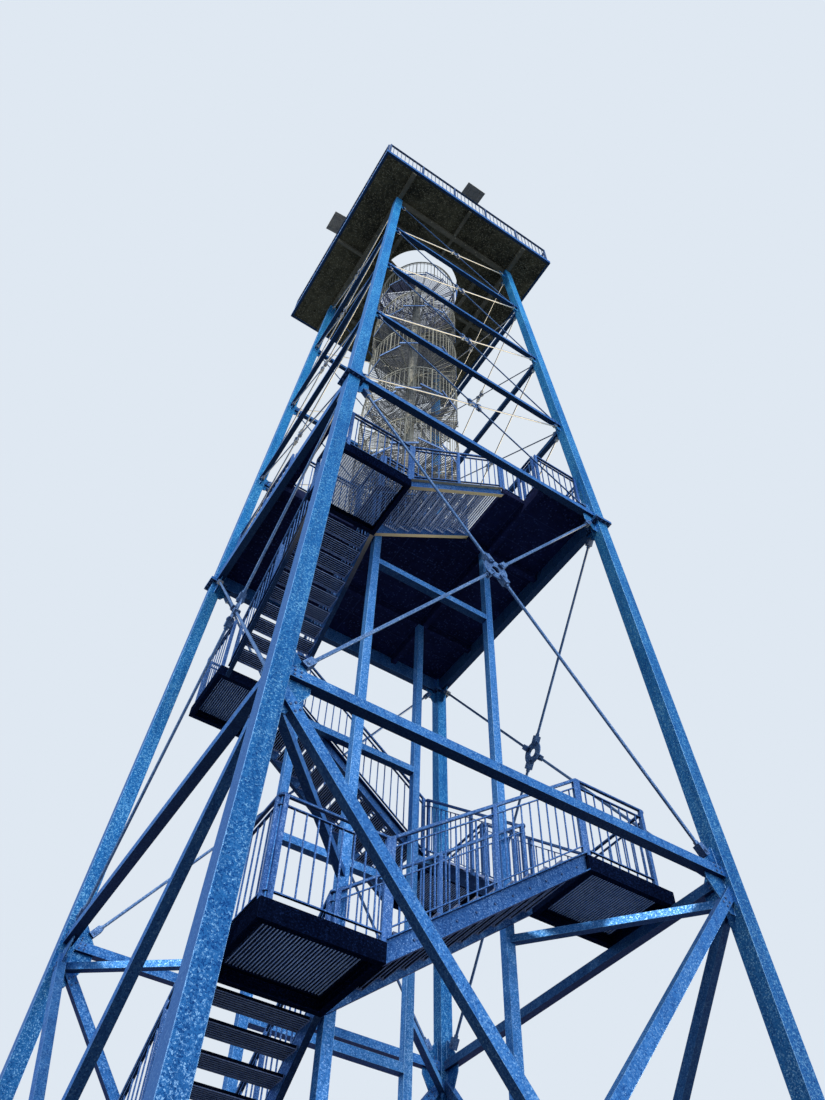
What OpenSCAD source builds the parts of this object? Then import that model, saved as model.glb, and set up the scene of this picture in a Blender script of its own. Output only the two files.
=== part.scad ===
// Fire lookout tower: a tapering square steel frame with a winding stair and two decks.
// Millimetres. Origin on the ground at the middle of the tower, +Z up.
// The front side faces -Y, the left side -X, the right side +X, the rear side +Y.

/* [Frame] */
// Half the distance between leg centre lines at the ground
base_half = 3113; // [3050:1:3200]
// Inward lean of each leg per unit of height
batter = 0.0432; // [0.0432:0.0001:0.0432]
// Outer width of a box section leg
leg_w = 200; // [160:1:215]
// Outer width of the ring beams and braces
beam_w = 120; // [100:1:130]
// Height of the first ring of beams
level_1 = 7238; // [7238:1:7238]
// Height of the splice collars under the lower deck
level_2 = 14343; // [14343:1:14343]
// Height of the third ring of beams
level_3 = 17944; // [17900:1:18000]
// Height of the fourth ring of beams
level_4 = 21401; // [21350:1:21450]
// Height of the fifth ring of beams
level_5 = 24832; // [24780:1:24880]
// Side of the square foot plate under each leg
foot_w = 460; // [420:1:520]

/* [Tie rods] */
// Diameter of the tie rods in the tall bay
rod_d = 42; // [32:1:48]
// Diameter of the ring plate where the tall ties meet
ring_d = 380; // [340:1:420]
// Diameter of the hole in the ring plate
ring_hole = 130; // [100:1:150]

/* [Stair] */
// Height of one step
riser = 174.5; // [174:0.1:175]
// Clear lane taken by a flight and its stringers
lane_w = 1130; // [1100:1:1150]
// Depth of a grating tread
tread_d = 270; // [240:1:290]
// Width of the square posts in the stair core
post_w = 120; // [100:1:130]

/* [Decks] */
// Half the side of the top deck
top_half = 2866; // [2800:1:2900]
// Height of the guard rails
rail_h = 1100; // [1000:1:1200]
// Spacing of the upright bars in the guard rails
bar_gap = 130; // [110:1:160]

/* [Spiral stair] */
// Outer radius of the spiral stair
spiral_r = 1150; // [1050:1:1180]
// Diameter of the spiral stair's column
column_d = 220; // [180:1:260]

/* [Hidden] */
lean = atan(batter);
function half_at(z) = base_half - batter * z;
function slope_at(z) = z / cos(lean);
foot_t = 30;
foot_bolt = 170;             // anchor bolts sit this far from the middle of a foot plate
foot_hole_r = 14;
gusset_t = 16;
gusset_reach = 260;
collar_w = leg_w + 130;
collar_t = 30;
beam_drop = 80;              // ring beams sit this much above the node level
top_deck_z = 28150;
top_plate_t = 100;
top_beam_d = 160;
leg_top = top_deck_z - top_plate_t - top_beam_d;
levels = [level_1, level_2, level_3, level_4, level_5];
frame_d = 190;               // depth of landing frames and stringers
n_flight = 11;
// the fourth landing rests on the first ring of beams
land_3 = level_1 + beam_drop + beam_w / 2 + frame_d + 3;
z_land = [for (i = [0:6]) land_3 + riser * n_flight * (i - 3)];
deck_z = z_land[6] + 8 * riser; // lower deck walking level
deck_t = 120;
edge_d = 300;
ch_w = 70;                   // flange width of channels
ch_t = 12;                   // thickness of channel webs
flange_t = 16;
seat = 0.3;
// clear space between the stair lanes and the line of the leg centres at the ground
gap_left = 963;
gap_right = 443;
gap_front = 1113;
gap_rear = 563;
// inner edges of the four stair lanes
ix0 = gap_left + lane_w - base_half;
ix1 = base_half - gap_right - lane_w;
iy0 = gap_front + lane_w - base_half;
iy1 = base_half - gap_rear - lane_w;
// core post centres
px0 = ix0 + 95;
px1 = ix1 - 285;
py0 = iy0 + 70;
py1 = iy1 - 100;
spiral_x = 0;
spiral_y = 0;
n_spiral = 72;
steps_turn = 13;
// the stairway in the lower deck
open_gap = 124;
open_len = 870;
open_x0 = ix0 - lane_w - open_gap;
open_x1 = px1 + 35;
open_y1 = iy0 + open_len;
joist_d = 140;
joist_w = 100;
deck_half = half_at(deck_z) - 38;
rail_clear = 87;             // the deck rails end this far from the legs
bracket_up = 80;             // stair brackets start this far above the stringer's lower edge
bracket_drop = 30;           // and end this far under the line of the steps
tie_over = [87.5, 68, 718.5, 1219, 1409.5, 1190]; // core ties sit this far above the first six landings
board_w = 600;
board_d = 390;
board_out = 370;

steel = [0.45, 0.55, 0.66];
dark = [0.16, 0.18, 0.22];
grate = [0.40, 0.43, 0.47];

// Helpers
// box bar from p to q, w wide sideways and d deep
module bar(p, q, w, d) {
  v = q - p;
  len = norm(v);
  translate(p) rotate([0, acos(v[2] / len), atan2(v[1], v[0])])
    translate([-d / 2, -w / 2, 0]) cube([d, w, len]);
}

// round rod from p to q
module rod(p, q, d) {
  v = q - p;
  translate(p) rotate([0, acos(v[2] / norm(v)), atan2(v[1], v[0])]) cylinder(d = d, h = norm(v), $fn = 24);
}

// one leg tube at the corner (-x, -y), long enough to be cut at both ends
module leg_tube(w = leg_w) {
  translate([-base_half, -base_half, 0])
    rotate([-asin(batter / norm([batter, batter, 1])), atan(batter), 0])
      translate([-w / 2, -w / 2, -300]) cube([w, w, leg_top + 900]);
}

// puts a side's own drawing (x along, z up the slope, y through) on side i
module on_side(i) {
  rotate([0, 0, 90 * i]) translate([0, -base_half, 0]) rotate([-lean, 0, 0]) children();
}

module side_legs(i) {
  rotate([0, 0, 90 * i]) {
    leg_tube();
    mirror([1, 0, 0]) leg_tube();
  }
}

// gusset plate outline at the left end of a side, level z
module gusset(z, up, down, reach) {
  h = half_at(z);
  s = slope_at(z);
  translate([-h, gusset_t / 2, s]) rotate([90, 0, 0]) linear_extrude(gusset_t)
    polygon([[0, -down], [leg_w / 2 + 50, -down], [leg_w / 2 + reach, -60 + beam_drop - 80],
             [leg_w / 2 + reach, 60 + beam_drop - 20], [leg_w / 2 + 50, up], [0, up]]);
}

module side_gussets() {
  gusset(level_1, 420, 420, gusset_reach);
  gusset(level_2, 560, 300, gusset_reach - 60);
  gusset(level_3, 200, 200, 160);
  gusset(level_4, 200, 200, 160);
  gusset(level_5, 200, 200, 160);
  gusset(leg_top - 260, 60, 200, 160);
  gusset(260, 380, 200, gusset_reach);
}

module gussets_on(i) {
  on_side(i) {
    side_gussets();
    mirror([1, 0, 0]) side_gussets();
  }
}

// Legs
module leg_front_left() {
  color(steel) {
    difference() {
      union() {
        leg_tube();
        on_side(0) side_gussets();
        on_side(3) mirror([1, 0, 0]) side_gussets();
        collar();
      }
      translate([-base_half - 500, -base_half - 500, foot_t - 1000]) cube([1000, 1000, 1000]);
      translate([-base_half, -base_half, leg_top]) cube([2500, 2500, 2000]);
    }
    translate([-base_half, -base_half, 0]) difference() {
      translate([-foot_w / 2, -foot_w / 2, 0]) cube([foot_w, foot_w, foot_t]);
      for (x = [-1, 1], y = [-1, 1]) translate([x * foot_bolt, y * foot_bolt, -1])
        cylinder(r = foot_hole_r, h = foot_t + 2, $fn = 32);
    }
  }
}

// bolted splice flanges round the leg
module collar() {
  s = level_2 * norm([batter, batter, 1]);
  translate([-base_half, -base_half, 0])
    rotate([-asin(batter / norm([batter, batter, 1])), atan(batter), 0])
      translate([-collar_w / 2, -collar_w / 2, s - 2 * collar_t]) cube([collar_w, collar_w, 2 * collar_t]);
}

module leg_front_right() { rotate([0, 0, 90]) leg_front_left(); }
module leg_rear_right() { rotate([0, 0, 180]) leg_front_left(); }
module leg_rear_left() { rotate([0, 0, 270]) leg_front_left(); }

// Ring beams
module ring_beam(i, z, w, d, drop) {
  h = half_at(z);
  difference() {
    on_side(i) translate([-h, -w / 2, slope_at(z) + drop - d / 2]) cube([2 * h, w, d]);
    side_legs(i);
    gussets_on(i);
  }
}

module first_ring_beams() {
  color(steel) for (i = [0:3]) ring_beam(i, level_1, beam_w, beam_w, beam_drop);
}

module deck_ring_beams() {
  color(dark) difference() {
    union() {
      ring_beam(0, level_2, beam_w, beam_w, deck_z - deck_t - level_2 - beam_w / 2);
      for (i = [1:3]) ring_beam(i, level_2, beam_w, edge_d, deck_z - deck_t - level_2 - edge_d / 2);
    }
    for (i = [0:3]) rotate([0, 0, 90 * i]) collar();
    translate([-4000, -4000, deck_z - deck_t]) cube([8000, 8000, 500]);
  }
}

module upper_ring_beams() {
  color(steel) for (z = [level_3, level_4, level_5]) for (i = [0:3]) ring_beam(i, z, 100, 100, 0);
}

// Braces below the first ring
module lower_brace(i) {
  color(steel) difference() {
    on_side(i) for (m = [0, 1]) mirror([m, 0, 0])
      bar([-half_at(level_1), 0, slope_at(level_1) - 70], [half_at(150), 0, slope_at(150)], beam_w - 20, beam_w);
    side_legs(i);
    gussets_on(i);
    ring_beam(i, level_1, beam_w, beam_w, beam_drop);
    translate([-4000, -4000, -500]) cube([8000, 8000, 500 + foot_t]);
  }
}

module brace_front() { lower_brace(0); }
module brace_right() { lower_brace(1); }
module brace_rear() { lower_brace(2); }
module brace_left() { lower_brace(3); }

// Tie rods with ring plates
// one crossed bay: four rods with forks on the corner plates and on a middle plate
module tie_bay(z0, z1, in0, in1, d, plate_d, hole_d, fork) {
  h0 = half_at(z0) - in0[0];
  h1 = half_at(z1) - in1[0];
  s0 = slope_at(z0) + in0[1];
  s1 = slope_at(z1) - in1[1];
  sc = s0 + (s1 - s0) * h0 / (h0 + h1);
  c = [0, 0, sc];
  rotate([90, 0, 0]) translate([0, sc, -gusset_t / 2]) difference() {
    cylinder(d = plate_d, h = gusset_t, $fn = 48);
    translate([0, 0, -5]) cylinder(d = hole_d, h = gusset_t + 10, $fn = 36);
  }
  difference() {
    for (m = [0, 1]) mirror([m, 0, 0]) for (e = [[-h0, 0, s0], [h1, 0, s1]]) {
      v = (e - c) / norm(e - c);
      rod(c + v * (plate_d / 2 - fork * 0.3), e, d);
      bar(c + v * (plate_d / 2 - fork * 0.45), c + v * (plate_d / 2 + fork * 0.55), 2.2 * d, 2 * d);
      bar(e - v * fork, e, 2.2 * d, 2 * d);
    }
    rotate([90, 0, 0]) translate([0, sc, -gusset_t / 2 - seat])
      cylinder(d = plate_d + 2 * seat, h = gusset_t + 2 * seat, $fn = 48);
  }
}

module tie_rods(i) {
  color(steel) difference() {
    on_side(i) {
      tie_bay(level_1, level_2, [250, 260], [230, 140], rod_d, ring_d, ring_hole, 150);
      tie_bay(level_2, level_3, [190, 400], [180, 100], 28, 220, 70, 90);
      tie_bay(level_3, level_4, [180, 100], [180, 100], 28, 220, 70, 90);
      tie_bay(level_4, level_5, [180, 100], [180, 100], 28, 220, 70, 90);
      tie_bay(level_5, leg_top - 260, [180, 100], [180, 60], 28, 220, 70, 90);
    }
    gussets_on(i);
    side_legs(i);
  }
}

module ties_front() { tie_rods(0); }
module ties_right() { tie_rods(1); }
module ties_rear() { tie_rods(2); }
module ties_left() { tie_rods(3); }

// Stair core
core_posts = [[px0, py0], [px1, py0], [px1, py1], [px0, py1]];

module stair_core() {
  tops = [z_land[6] + 150, deck_z - deck_t - joist_d, deck_z - deck_t - joist_d, z_land[5] + 250];
  color(steel) for (i = [0:3]) translate([core_posts[i][0], core_posts[i][1], 0]) {
    translate([-post_w / 2, -post_w / 2, 0]) cube([post_w, post_w, tops[i]]);
    translate([-post_w, -post_w, 0]) cube([2 * post_w, 2 * post_w, 20]);
  }
}

// a square tie between two core posts, i and j, at height z
module core_tie(i, j, z) {
  p = core_posts[i];
  q = core_posts[j];
  w = post_w / 2;
  h = post_w / 2;
  if (p[1] == q[1]) translate([p[0] + h, p[1] - w, z - w]) cube([q[0] - p[0] - 2 * h, 2 * w, 2 * w]);
  else translate([p[0] - w, p[1] + h, z - w]) cube([2 * w, q[1] - p[1] - 2 * h, 2 * w]);
}

module core_ties() {
  color(steel) {
    for (i = [0, 1]) {
      core_tie(0, 1, z_land[i] + tie_over[i]);
      core_tie(0, 3, z_land[i] + tie_over[i]);
      core_tie(1, 2, z_land[i] + tie_over[i]);
    }
    for (i = [0:4]) core_tie(3, 2, z_land[i] + tie_over[i]);
    core_tie(0, 1, z_land[5] + tie_over[5]);
    stair_brackets();
  }
}

module core_struts() {
  z = 7010;
  h = half_at(z);
  color(steel) for (s = [[1, -1, 1], [1, 1, 2], [-1, 1, 3], [-1, -1, 0]]) {
    p = core_posts[s[2]];
    difference() {
      bar([s[0] * h, s[1] * h, z], [p[0], p[1], z], 90, 90);
      translate([p[0] - post_w / 2, p[1] - post_w / 2, z - 200]) cube([post_w, post_w, 400]);
      for (i = [0:3]) side_legs(i);
      for (i = [0:3]) gussets_on(i);
    }
  }
}

// Landings
// corner of each landing: 0 rear right, 1 rear left, 2 front left, 3 front right
lane_x = [ix1, ix0 - lane_w, ix0 - lane_w, ix1];
lane_y = [iy1, iy1, iy0 - lane_w, iy0 - lane_w];

function land_ext(k) = k == 3 ? 140 : k % 4 == 0 ? 0 : 100;

module landing(k) {
  c = k % 4;
  w = lane_w + land_ext(k);
  translate([lane_x[c] - (c == 1 || c == 2 ? land_ext(k) : 0), lane_y[c], z_land[k] - frame_d]) {
    difference() {
      cube([w, lane_w, frame_d]);
      translate([ch_t, ch_t, ch_t]) cube([w - 2 * ch_t, lane_w - 2 * ch_t, frame_d]);
      translate([ch_w, ch_w, -5]) cube([w - 2 * ch_w, lane_w - 2 * ch_w, frame_d]);
    }
    translate([ch_t - 1, ch_t - 1, frame_d - 40]) cube([w - 2 * ch_t + 2, lane_w - 2 * ch_t + 2, 40]);
  }
}

module landings() { color(grate) for (k = [0:6]) landing(k); }

// Flights
// start point, heading, rise count, run and starting height of flight k
run_x = ix1 - ix0;
run_y = iy1 - iy0;
function fl_n(k) = k == 0 ? 10 : (k == 7 ? 8 : n_flight);
function fl_run(k) = (k % 2 == 0 ? run_y : run_x) * fl_n(k) / n_flight;
function fl_rot(k) = [90, 180, 270, 0][k % 4];
function fl_z(k) = k == 0 ? 0 : z_land[k - 1];
function fl_rise(k) = k == 0 ? z_land[0] : fl_n(k) * riser;
function fl_x(k) = [ix1 + lane_w, ix1, ix0 - lane_w, ix0][k % 4];
function fl_y(k) = [k == 0 ? iy1 - fl_run(0) : iy0, iy1 + lane_w, iy1, iy0 - lane_w][k % 4];

// local frame: x along the climb, y to the left over the lane width
module on_flight(k) {
  translate([fl_x(k), fl_y(k), fl_z(k)]) rotate([0, 0, fl_rot(k)]) children();
}

// channel stringer with vertical ends: flanges from y = 0, web on the tread side
module stringer(k) {
  run = fl_run(k);
  rise = fl_rise(k);
  low = k == 0 ? 0 : -frame_d;
  over = 9;
  under = (rise - frame_d - low) / run;
  difference() {
    rotate([90, 0, 0]) linear_extrude(ch_w)
      polygon([[seat, low], [run - seat, rise - frame_d], [run - seat, rise + 50], [seat, 50]]);
    translate([0, 1, 0]) rotate([90, 0, 0]) linear_extrude(ch_w - ch_t + 1)
      polygon([[-over, low + flange_t - over * under], [run + over, rise - frame_d + flange_t + over * under],
               [run + over, rise + 50 - flange_t + over * rise / run], [-over, 50 - flange_t - over * rise / run]]);
  }
}

module flight_stringers() {
  color(steel) for (k = [0:7]) on_flight(k) {
    mirror([0, 1, 0]) stringer(k);
    translate([0, lane_w, 0]) stringer(k);
  }
}

module treads(k) {
  n = fl_n(k);
  run = fl_run(k);
  on_flight(k) for (i = [1:n - 1])
    translate([run * i / n - tread_d / 2, ch_w + seat, fl_rise(k) * i / n - 40])
      cube([tread_d, lane_w - 2 * ch_w - 2 * seat, 40]);
}

module treads_1() { color(grate) { treads(0); treads(1); } }
module treads_2() { color(grate) { treads(2); treads(3); } }
module treads_3() { color(grate) { treads(4); treads(5); } }
module treads_4() { color(grate) { treads(6); treads(7); } }

// short arms from the core posts to the inner stringers
function post_at(k) = k % 4 == 3 ? [px0 - ix0, px1 - ix0, py0 - post_w / 2 - iy0] :
  k % 4 == 0 ? [py0 - fl_y(k), py1 - fl_y(k), ix1 - px1 - post_w / 2] :
  k % 4 == 1 ? [ix1 - px1, ix1 - px0, iy1 - py1 - post_w / 2] :
  [iy1 - py1, iy1 - py0, px0 - post_w / 2 - ix0];

module stair_brackets() {
  for (k = [0:7]) on_flight(k) for (j = [0, 1]) {
    x = post_at(k)[j];
    if (x > 40 && x < fl_run(k) - 40)
      translate([x - 40, lane_w - ch_w + ch_t, x * fl_rise(k) / fl_run(k) - frame_d + bracket_up])
        cube([80, post_at(k)[2] + ch_w - ch_t, frame_d - bracket_up - bracket_drop]);
  }
}

// Guard rails
// a rail panel from x = 0 to len, rising by slope, feet starting at z = foot
module rail_panel(len, slope, foot) {
  n = max(1, ceil(len / 1300));
  m = floor((len - 60) / bar_gap);
  for (i = [0:n]) {
    x = 25 + (len - 50) * i / n;
    rotate([90, 0, 0]) translate([0, 0, -20]) linear_extrude(40)
      polygon([[x - 25, foot + slope * (x - 25)], [x + 25, foot + slope * (x + 25)],
               [x + 25, rail_h - 20 + slope * (x + 25)], [x - 25, rail_h - 20 + slope * (x - 25)]]);
  }
  e = 6;
  rod([e, 0, rail_h - 22 + slope * e], [len - e, 0, rail_h - 22 + slope * (len - e)], 44);
  for (z = [foot + 90, rail_h - 130]) bar([e, 0, z + slope * e], [len - e, 0, z + slope * (len - e)], 30, 12);
  for (i = [1:m]) {
    x = len * i / (m + 1);
    translate([x - 7, -7, foot + 90 + slope * x]) cube([14, 14, rail_h - 220 - foot]);
  }
}

module flight_rails(k) {
  on_flight(k) for (y = [ch_w / 2, lane_w - ch_w / 2]) translate([0, y, 0])
    rail_panel(fl_run(k), fl_rise(k) / fl_run(k), 50);
}

// rails on the two outer edges of landing k
module landing_rails(k) {
  c = k % 4;
  e = c == 1 || c == 2 ? land_ext(k) : 0;
  x = c == 0 || c == 3 ? ix1 + lane_w - ch_w / 2 : ix0 - lane_w - e + ch_w / 2;
  y = c < 2 ? iy1 + lane_w - ch_w / 2 : iy0 - lane_w + ch_w / 2;
  translate([lane_x[c] - e + (c == 0 || c == 3 ? 1 : 64), y, z_land[k]]) rail_panel(lane_w + e - 65, 0, 0);
  translate([x, lane_y[c] + (c < 2 ? 1 : 64), z_land[k]]) rotate([0, 0, 90]) rail_panel(lane_w - 65, 0, 0);
}

module stair_rails_1() { color(steel) { flight_rails(0); flight_rails(1); landing_rails(0); landing_rails(1); } }
module stair_rails_2() { color(steel) { flight_rails(2); flight_rails(3); landing_rails(2); landing_rails(3); } }
module stair_rails_3() { color(steel) { flight_rails(4); flight_rails(5); landing_rails(4); landing_rails(5); } }
module stair_rails_4() { color(steel) { flight_rails(6); flight_rails(7); landing_rails(6); } }

// Lower deck
module lower_deck() {
  color(dark) difference() {
    translate([-deck_half, -deck_half, deck_z - deck_t]) cube([2 * deck_half, 2 * deck_half, deck_t]);
    translate([open_x0, -deck_half - 1, deck_z - 500]) cube([open_x1 - open_x0, iy0 + deck_half + 1, 1000]);
    translate([open_x0, iy0 - 1, deck_z - 500]) cube([ix0 - open_x0, open_y1 - iy0 + 1, 1000]);
    for (i = [0, 2]) side_legs(i);
  }
  x = ix0 + fl_run(7);
  color(dark) translate([x, iy0 - lane_w, deck_z - deck_t]) cube([open_x1 - x + 1, lane_w + 1, deck_t]);
}

module deck_joists() {
  z = deck_z - deck_t - joist_d;
  e = half_at(z + 70) - beam_w / 2 - 4;
  color(dark) {
    translate([open_x1, -e, z]) cube([joist_w, 2 * e, joist_d]);
    translate([ix0, iy0, z]) cube([e - ix0, joist_w, joist_d]);
    translate([-e, open_y1, z]) cube([ix0 + e + joist_w, joist_w, joist_d]);
    translate([ix0, iy0, z]) cube([joist_w, e - iy0, joist_d]);
    translate([ix0, py1 - joist_w / 2, z]) cube([e - ix0, joist_w, joist_d]);
  }
}

module deck_rails() {
  r = deck_half - 52;
  l = half_at(deck_z) - leg_w / 2 - rail_clear;
  color(steel) translate([0, 0, deck_z]) {
    translate([r, -l, 0]) rotate([0, 0, 90]) rail_panel(2 * l, 0, 0);
    translate([-l, r, 0]) rail_panel(2 * l, 0, 0);
    translate([-r, open_y1 + 60, 0]) rotate([0, 0, 90]) rail_panel(l - open_y1 - 60, 0, 0);
    translate([open_x1 + 40, -r, 0]) rail_panel(l - open_x1 - 40, 0, 0);
    translate([-r + 30, open_y1 + 30, 0]) rail_panel(ix0 + r + 20, 0, 0);
    translate([ix0 + 30, iy0 + 30, 0]) rotate([0, 0, 90]) rail_panel(open_y1 - iy0 - 60, 0, 0);
    translate([ix0 + 60, iy0 + 30, 0]) rail_panel(fl_run(7) - 60, 0, 0);
    translate([open_x1 + 30, -r + 40, 0]) rotate([0, 0, 90]) rail_panel(iy0 - lane_w + r - 40, 0, 0);
    translate([ix0 + fl_run(7) + 8, iy0 - lane_w + ch_w / 2, 0]) rail_panel(open_x1 - ix0 - fl_run(7) - 16, 0, 0);
  }
}

// Spiral stair
spiral_rise = (top_deck_z - deck_z) / n_spiral;
spiral_turn = 360 / steps_turn;
spiral_start = -40;

module spiral_column() {
  color(steel) translate([spiral_x, spiral_y, deck_z]) {
    cylinder(d = column_d, h = top_deck_z - deck_z + 60, $fn = 48);
    difference() {
      cylinder(d = column_d + 200, h = 20, $fn = 48);
      translate([0, 0, -1]) cylinder(d = column_d - 20, h = 30, $fn = 48);
    }
  }
}

// one wedge tread reaching from the column to the rail line
module spiral_tread(i) {
  a = spiral_turn / 2 + 1;
  r = spiral_r - 20;
  translate([spiral_x, spiral_y, deck_z + i * spiral_rise - 40]) rotate([0, 0, spiral_start + i * spiral_turn])
    difference() {
      linear_extrude(40) polygon([[60 * cos(a), -60 * sin(a)], [r * cos(a), -r * sin(a)], [r * cos(a / 3), -r * sin(a / 3)],
        [r * cos(a / 3), r * sin(a / 3)], [r * cos(a), r * sin(a)], [60 * cos(a), 60 * sin(a)]]);
      translate([0, 0, -5]) cylinder(d = column_d, h = 50, $fn = 48);
    }
}

// point on the rail helix above tread position t
function helix(t, h) = [spiral_x + (spiral_r - 60) * cos(spiral_start + t * spiral_turn),
  spiral_y + (spiral_r - 60) * sin(spiral_start + t * spiral_turn), deck_z + t * spiral_rise + h];

// each tread carries its own length of rail: a post, two bars and a mitred length of handrail
module spiral_rail(i0, i1) {
  a = spiral_turn / 2 - seat / spiral_r * 90 / PI;
  r = 2 * spiral_r;
  for (i = [i0:i1]) {
    for (j = [-1, 0, 1]) {
      p = helix(i + j / 3, 0);
      w = j == 0 ? 30 : 14;
      translate([p[0], p[1], deck_z + i * spiral_rise]) rotate([0, 0, spiral_start + (i + j / 3) * spiral_turn])
        translate([-w / 2, -w / 2, 0]) cube([w, w, 1000 + j / 3 * spiral_rise]);
    }
    intersection() {
      translate([spiral_x, spiral_y, deck_z + i * spiral_rise + 500]) rotate([0, 0, spiral_start + i * spiral_turn])
        linear_extrude(1000) polygon([[0, 0], [r * cos(a), -r * sin(a)], [r * cos(a), r * sin(a)]]);
      union() {
        bar(helix(i - 0.53, 1000), helix(i + 0.006, 1000), 38, 38);
        bar(helix(i - 0.006, 1000), helix(i + 0.53, 1000), 38, 38);
      }
    }
  }
}

module spiral_treads_1() { color(grate) for (i = [1:36]) spiral_tread(i); }
module spiral_treads_2() { color(grate) for (i = [37:n_spiral - 1]) spiral_tread(i); }
module spiral_rail_1() { color(steel) spiral_rail(1, 36); }
module spiral_rail_2() { color(steel) spiral_rail(37, n_spiral - 1); }

// Top deck
hole_r = spiral_r + 60;

module top_deck() {
  a0 = spiral_start + n_spiral * spiral_turn - spiral_turn / 2;
  w = top_half - ch_t;
  step_r = hole_r / cos(13.5) + 10;
  color(dark) translate([0, 0, top_deck_z - top_plate_t]) {
    difference() {
      translate([-w, -w, 0]) cube([2 * w, 2 * w, top_plate_t]);
      translate([spiral_x, spiral_y, -1]) cylinder(r = hole_r, h = top_plate_t + 2, $fn = 96);
    }
    translate([spiral_x, spiral_y, 0]) difference() {
      rotate([0, 0, a0 + 1]) linear_extrude(top_plate_t)
        polygon([[0, 0], [step_r, 0], [step_r * cos(27), step_r * sin(27)], [step_r * cos(54), step_r * sin(54)]]);
      translate([0, 0, -1]) cylinder(d = column_d, h = top_plate_t + 2, $fn = 48);
    }
  }
}

module top_deck_edge() {
  z = top_deck_z - top_plate_t - 8;
  color(steel) difference() {
    translate([-top_half, -top_half, z]) cube([2 * top_half, 2 * top_half, 180]);
    translate([-top_half + ch_t, -top_half + ch_t, z + 8]) cube([2 * (top_half - ch_t), 2 * (top_half - ch_t), 200]);
    translate([-top_half + ch_w, -top_half + ch_w, z - 5]) cube([2 * (top_half - ch_w), 2 * (top_half - ch_w), 200]);
  }
}

module top_deck_beams() {
  z = top_deck_z - top_plate_t - top_beam_d;
  h = half_at(leg_top);
  e = top_half - ch_w - 2;
  w = 120;
  color(dark) translate([0, 0, z]) {
    for (s = [-1, 1]) {
      translate([s * h - w / 2, -e, 0]) cube([w, 2 * e, top_beam_d]);
      translate([-h, s * h - w / 2, 0]) cube([2 * h, w, top_beam_d]);
      translate([-h, spiral_y + s * (hole_r + 80) - 50, 0]) cube([2 * h, 100, top_beam_d]);
      translate([spiral_x + s * (hole_r + 80) - 50, spiral_y - hole_r - 80, 0]) cube([100, 2 * (hole_r + 80), top_beam_d]);
      translate([s > 0 ? h : -e, -40, 0]) cube([e - h, 80, top_beam_d]);
      translate([-40, s > 0 ? h : -e, 0]) cube([80, e - h, top_beam_d]);
      x = spiral_x + s * (hole_r + 80);
      y = spiral_y + s * (hole_r + 80);
      translate([min(x, s * h), -40, 0]) cube([abs(s * h - x), 80, top_beam_d]);
      translate([-40, min(y, s * h), 0]) cube([80, abs(s * h - y), top_beam_d]);
    }
  }
}

module top_rail(i) {
  r = top_half - ch_t - 30;
  color(steel) rotate([0, 0, 90 * i]) translate([-r + 25, -r, top_deck_z]) rail_panel(2 * r - 50, 0, 0);
}

module top_rail_front() { top_rail(0); }
module top_rail_right() { top_rail(1); }
module top_rail_rear() { top_rail(2); }
module top_rail_left() { top_rail(3); }

// guard round the stair opening in the top deck
module stair_head_rail() {
  a0 = spiral_start + n_spiral * spiral_turn + 46;
  n = 13;
  da = 24;
  r = hole_r + 40;
  stop = (20 + seat + 18 * sin(da / 2)) / cos(da / 2); // each bay's bars end just short of the next post
  color(steel) translate([spiral_x, spiral_y, top_deck_z]) {
    for (i = [0:n - 1]) {
      rotate([0, 0, a0 + i * da]) translate([r - 20, -20, 0]) cube([40, 40, rail_h - 12]);
      if (i < n - 1) {
        p = r * [cos(a0 + i * da), sin(a0 + i * da), 0];
        q = r * [cos(a0 + (i + 1) * da), sin(a0 + (i + 1) * da), 0];
        e = q - (q - p) * stop / norm(q - p);
        bar(p + [0, 0, rail_h - 40], e + [0, 0, rail_h - 40], 36, 36);
        bar(p + [0, 0, 90], e + [0, 0, 90], 12, 30);
        for (t = [0.25, 0.5, 0.75]) translate(p + (q - p) * t + [0, 0, 90])
          rotate([0, 0, a0 + (i + 0.5) * da]) translate([-7, -7, 0]) cube([14, 14, rail_h - 135]);
      }
    }
  }
}

// sloping view boards outside the handrail, one at the middle of each side
module view_boards() {
  r = top_half - ch_t - 30;
  color(grate) for (i = [0:3]) rotate([0, 0, 90 * i]) translate([0, -r, top_deck_z + rail_h - 20]) {
    for (x = [-180, 180]) translate([x - 15, 40 - board_out, 20]) {
      cube([30, board_out - 20, 20]);
      translate([0, board_out - 60, 10]) cube([30, 20, 80]);
    }
    translate([-board_w / 2, -board_out, 24]) rotate([14, 0, 0]) cube([board_w, board_d, 20]);
  }
}

leg_front_left();
leg_front_right();
leg_rear_right();
leg_rear_left();
first_ring_beams();
deck_ring_beams();
upper_ring_beams();
brace_front();
brace_right();
brace_rear();
brace_left();
ties_front();
ties_right();
ties_rear();
ties_left();
stair_core();
core_ties();
core_struts();
landings();
flight_stringers();
treads_1();
treads_2();
treads_3();
treads_4();
stair_rails_1();
stair_rails_2();
stair_rails_3();
stair_rails_4();
lower_deck();
deck_joists();
deck_rails();
spiral_column();
spiral_treads_1();
spiral_treads_2();
spiral_rail_1();
spiral_rail_2();
top_deck();
top_deck_edge();
top_deck_beams();
top_rail_front();
top_rail_right();
top_rail_rear();
top_rail_left();
stair_head_rail();
view_boards();
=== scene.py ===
"""Fire lookout tower: the finish of every surface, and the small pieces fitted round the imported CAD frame.
Metres, +Z up, in the CAD's own frame: origin between the four feet, -Y the front side."""
import bpy
import math
import numpy as np
from mathutils import Matrix, Vector


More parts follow.
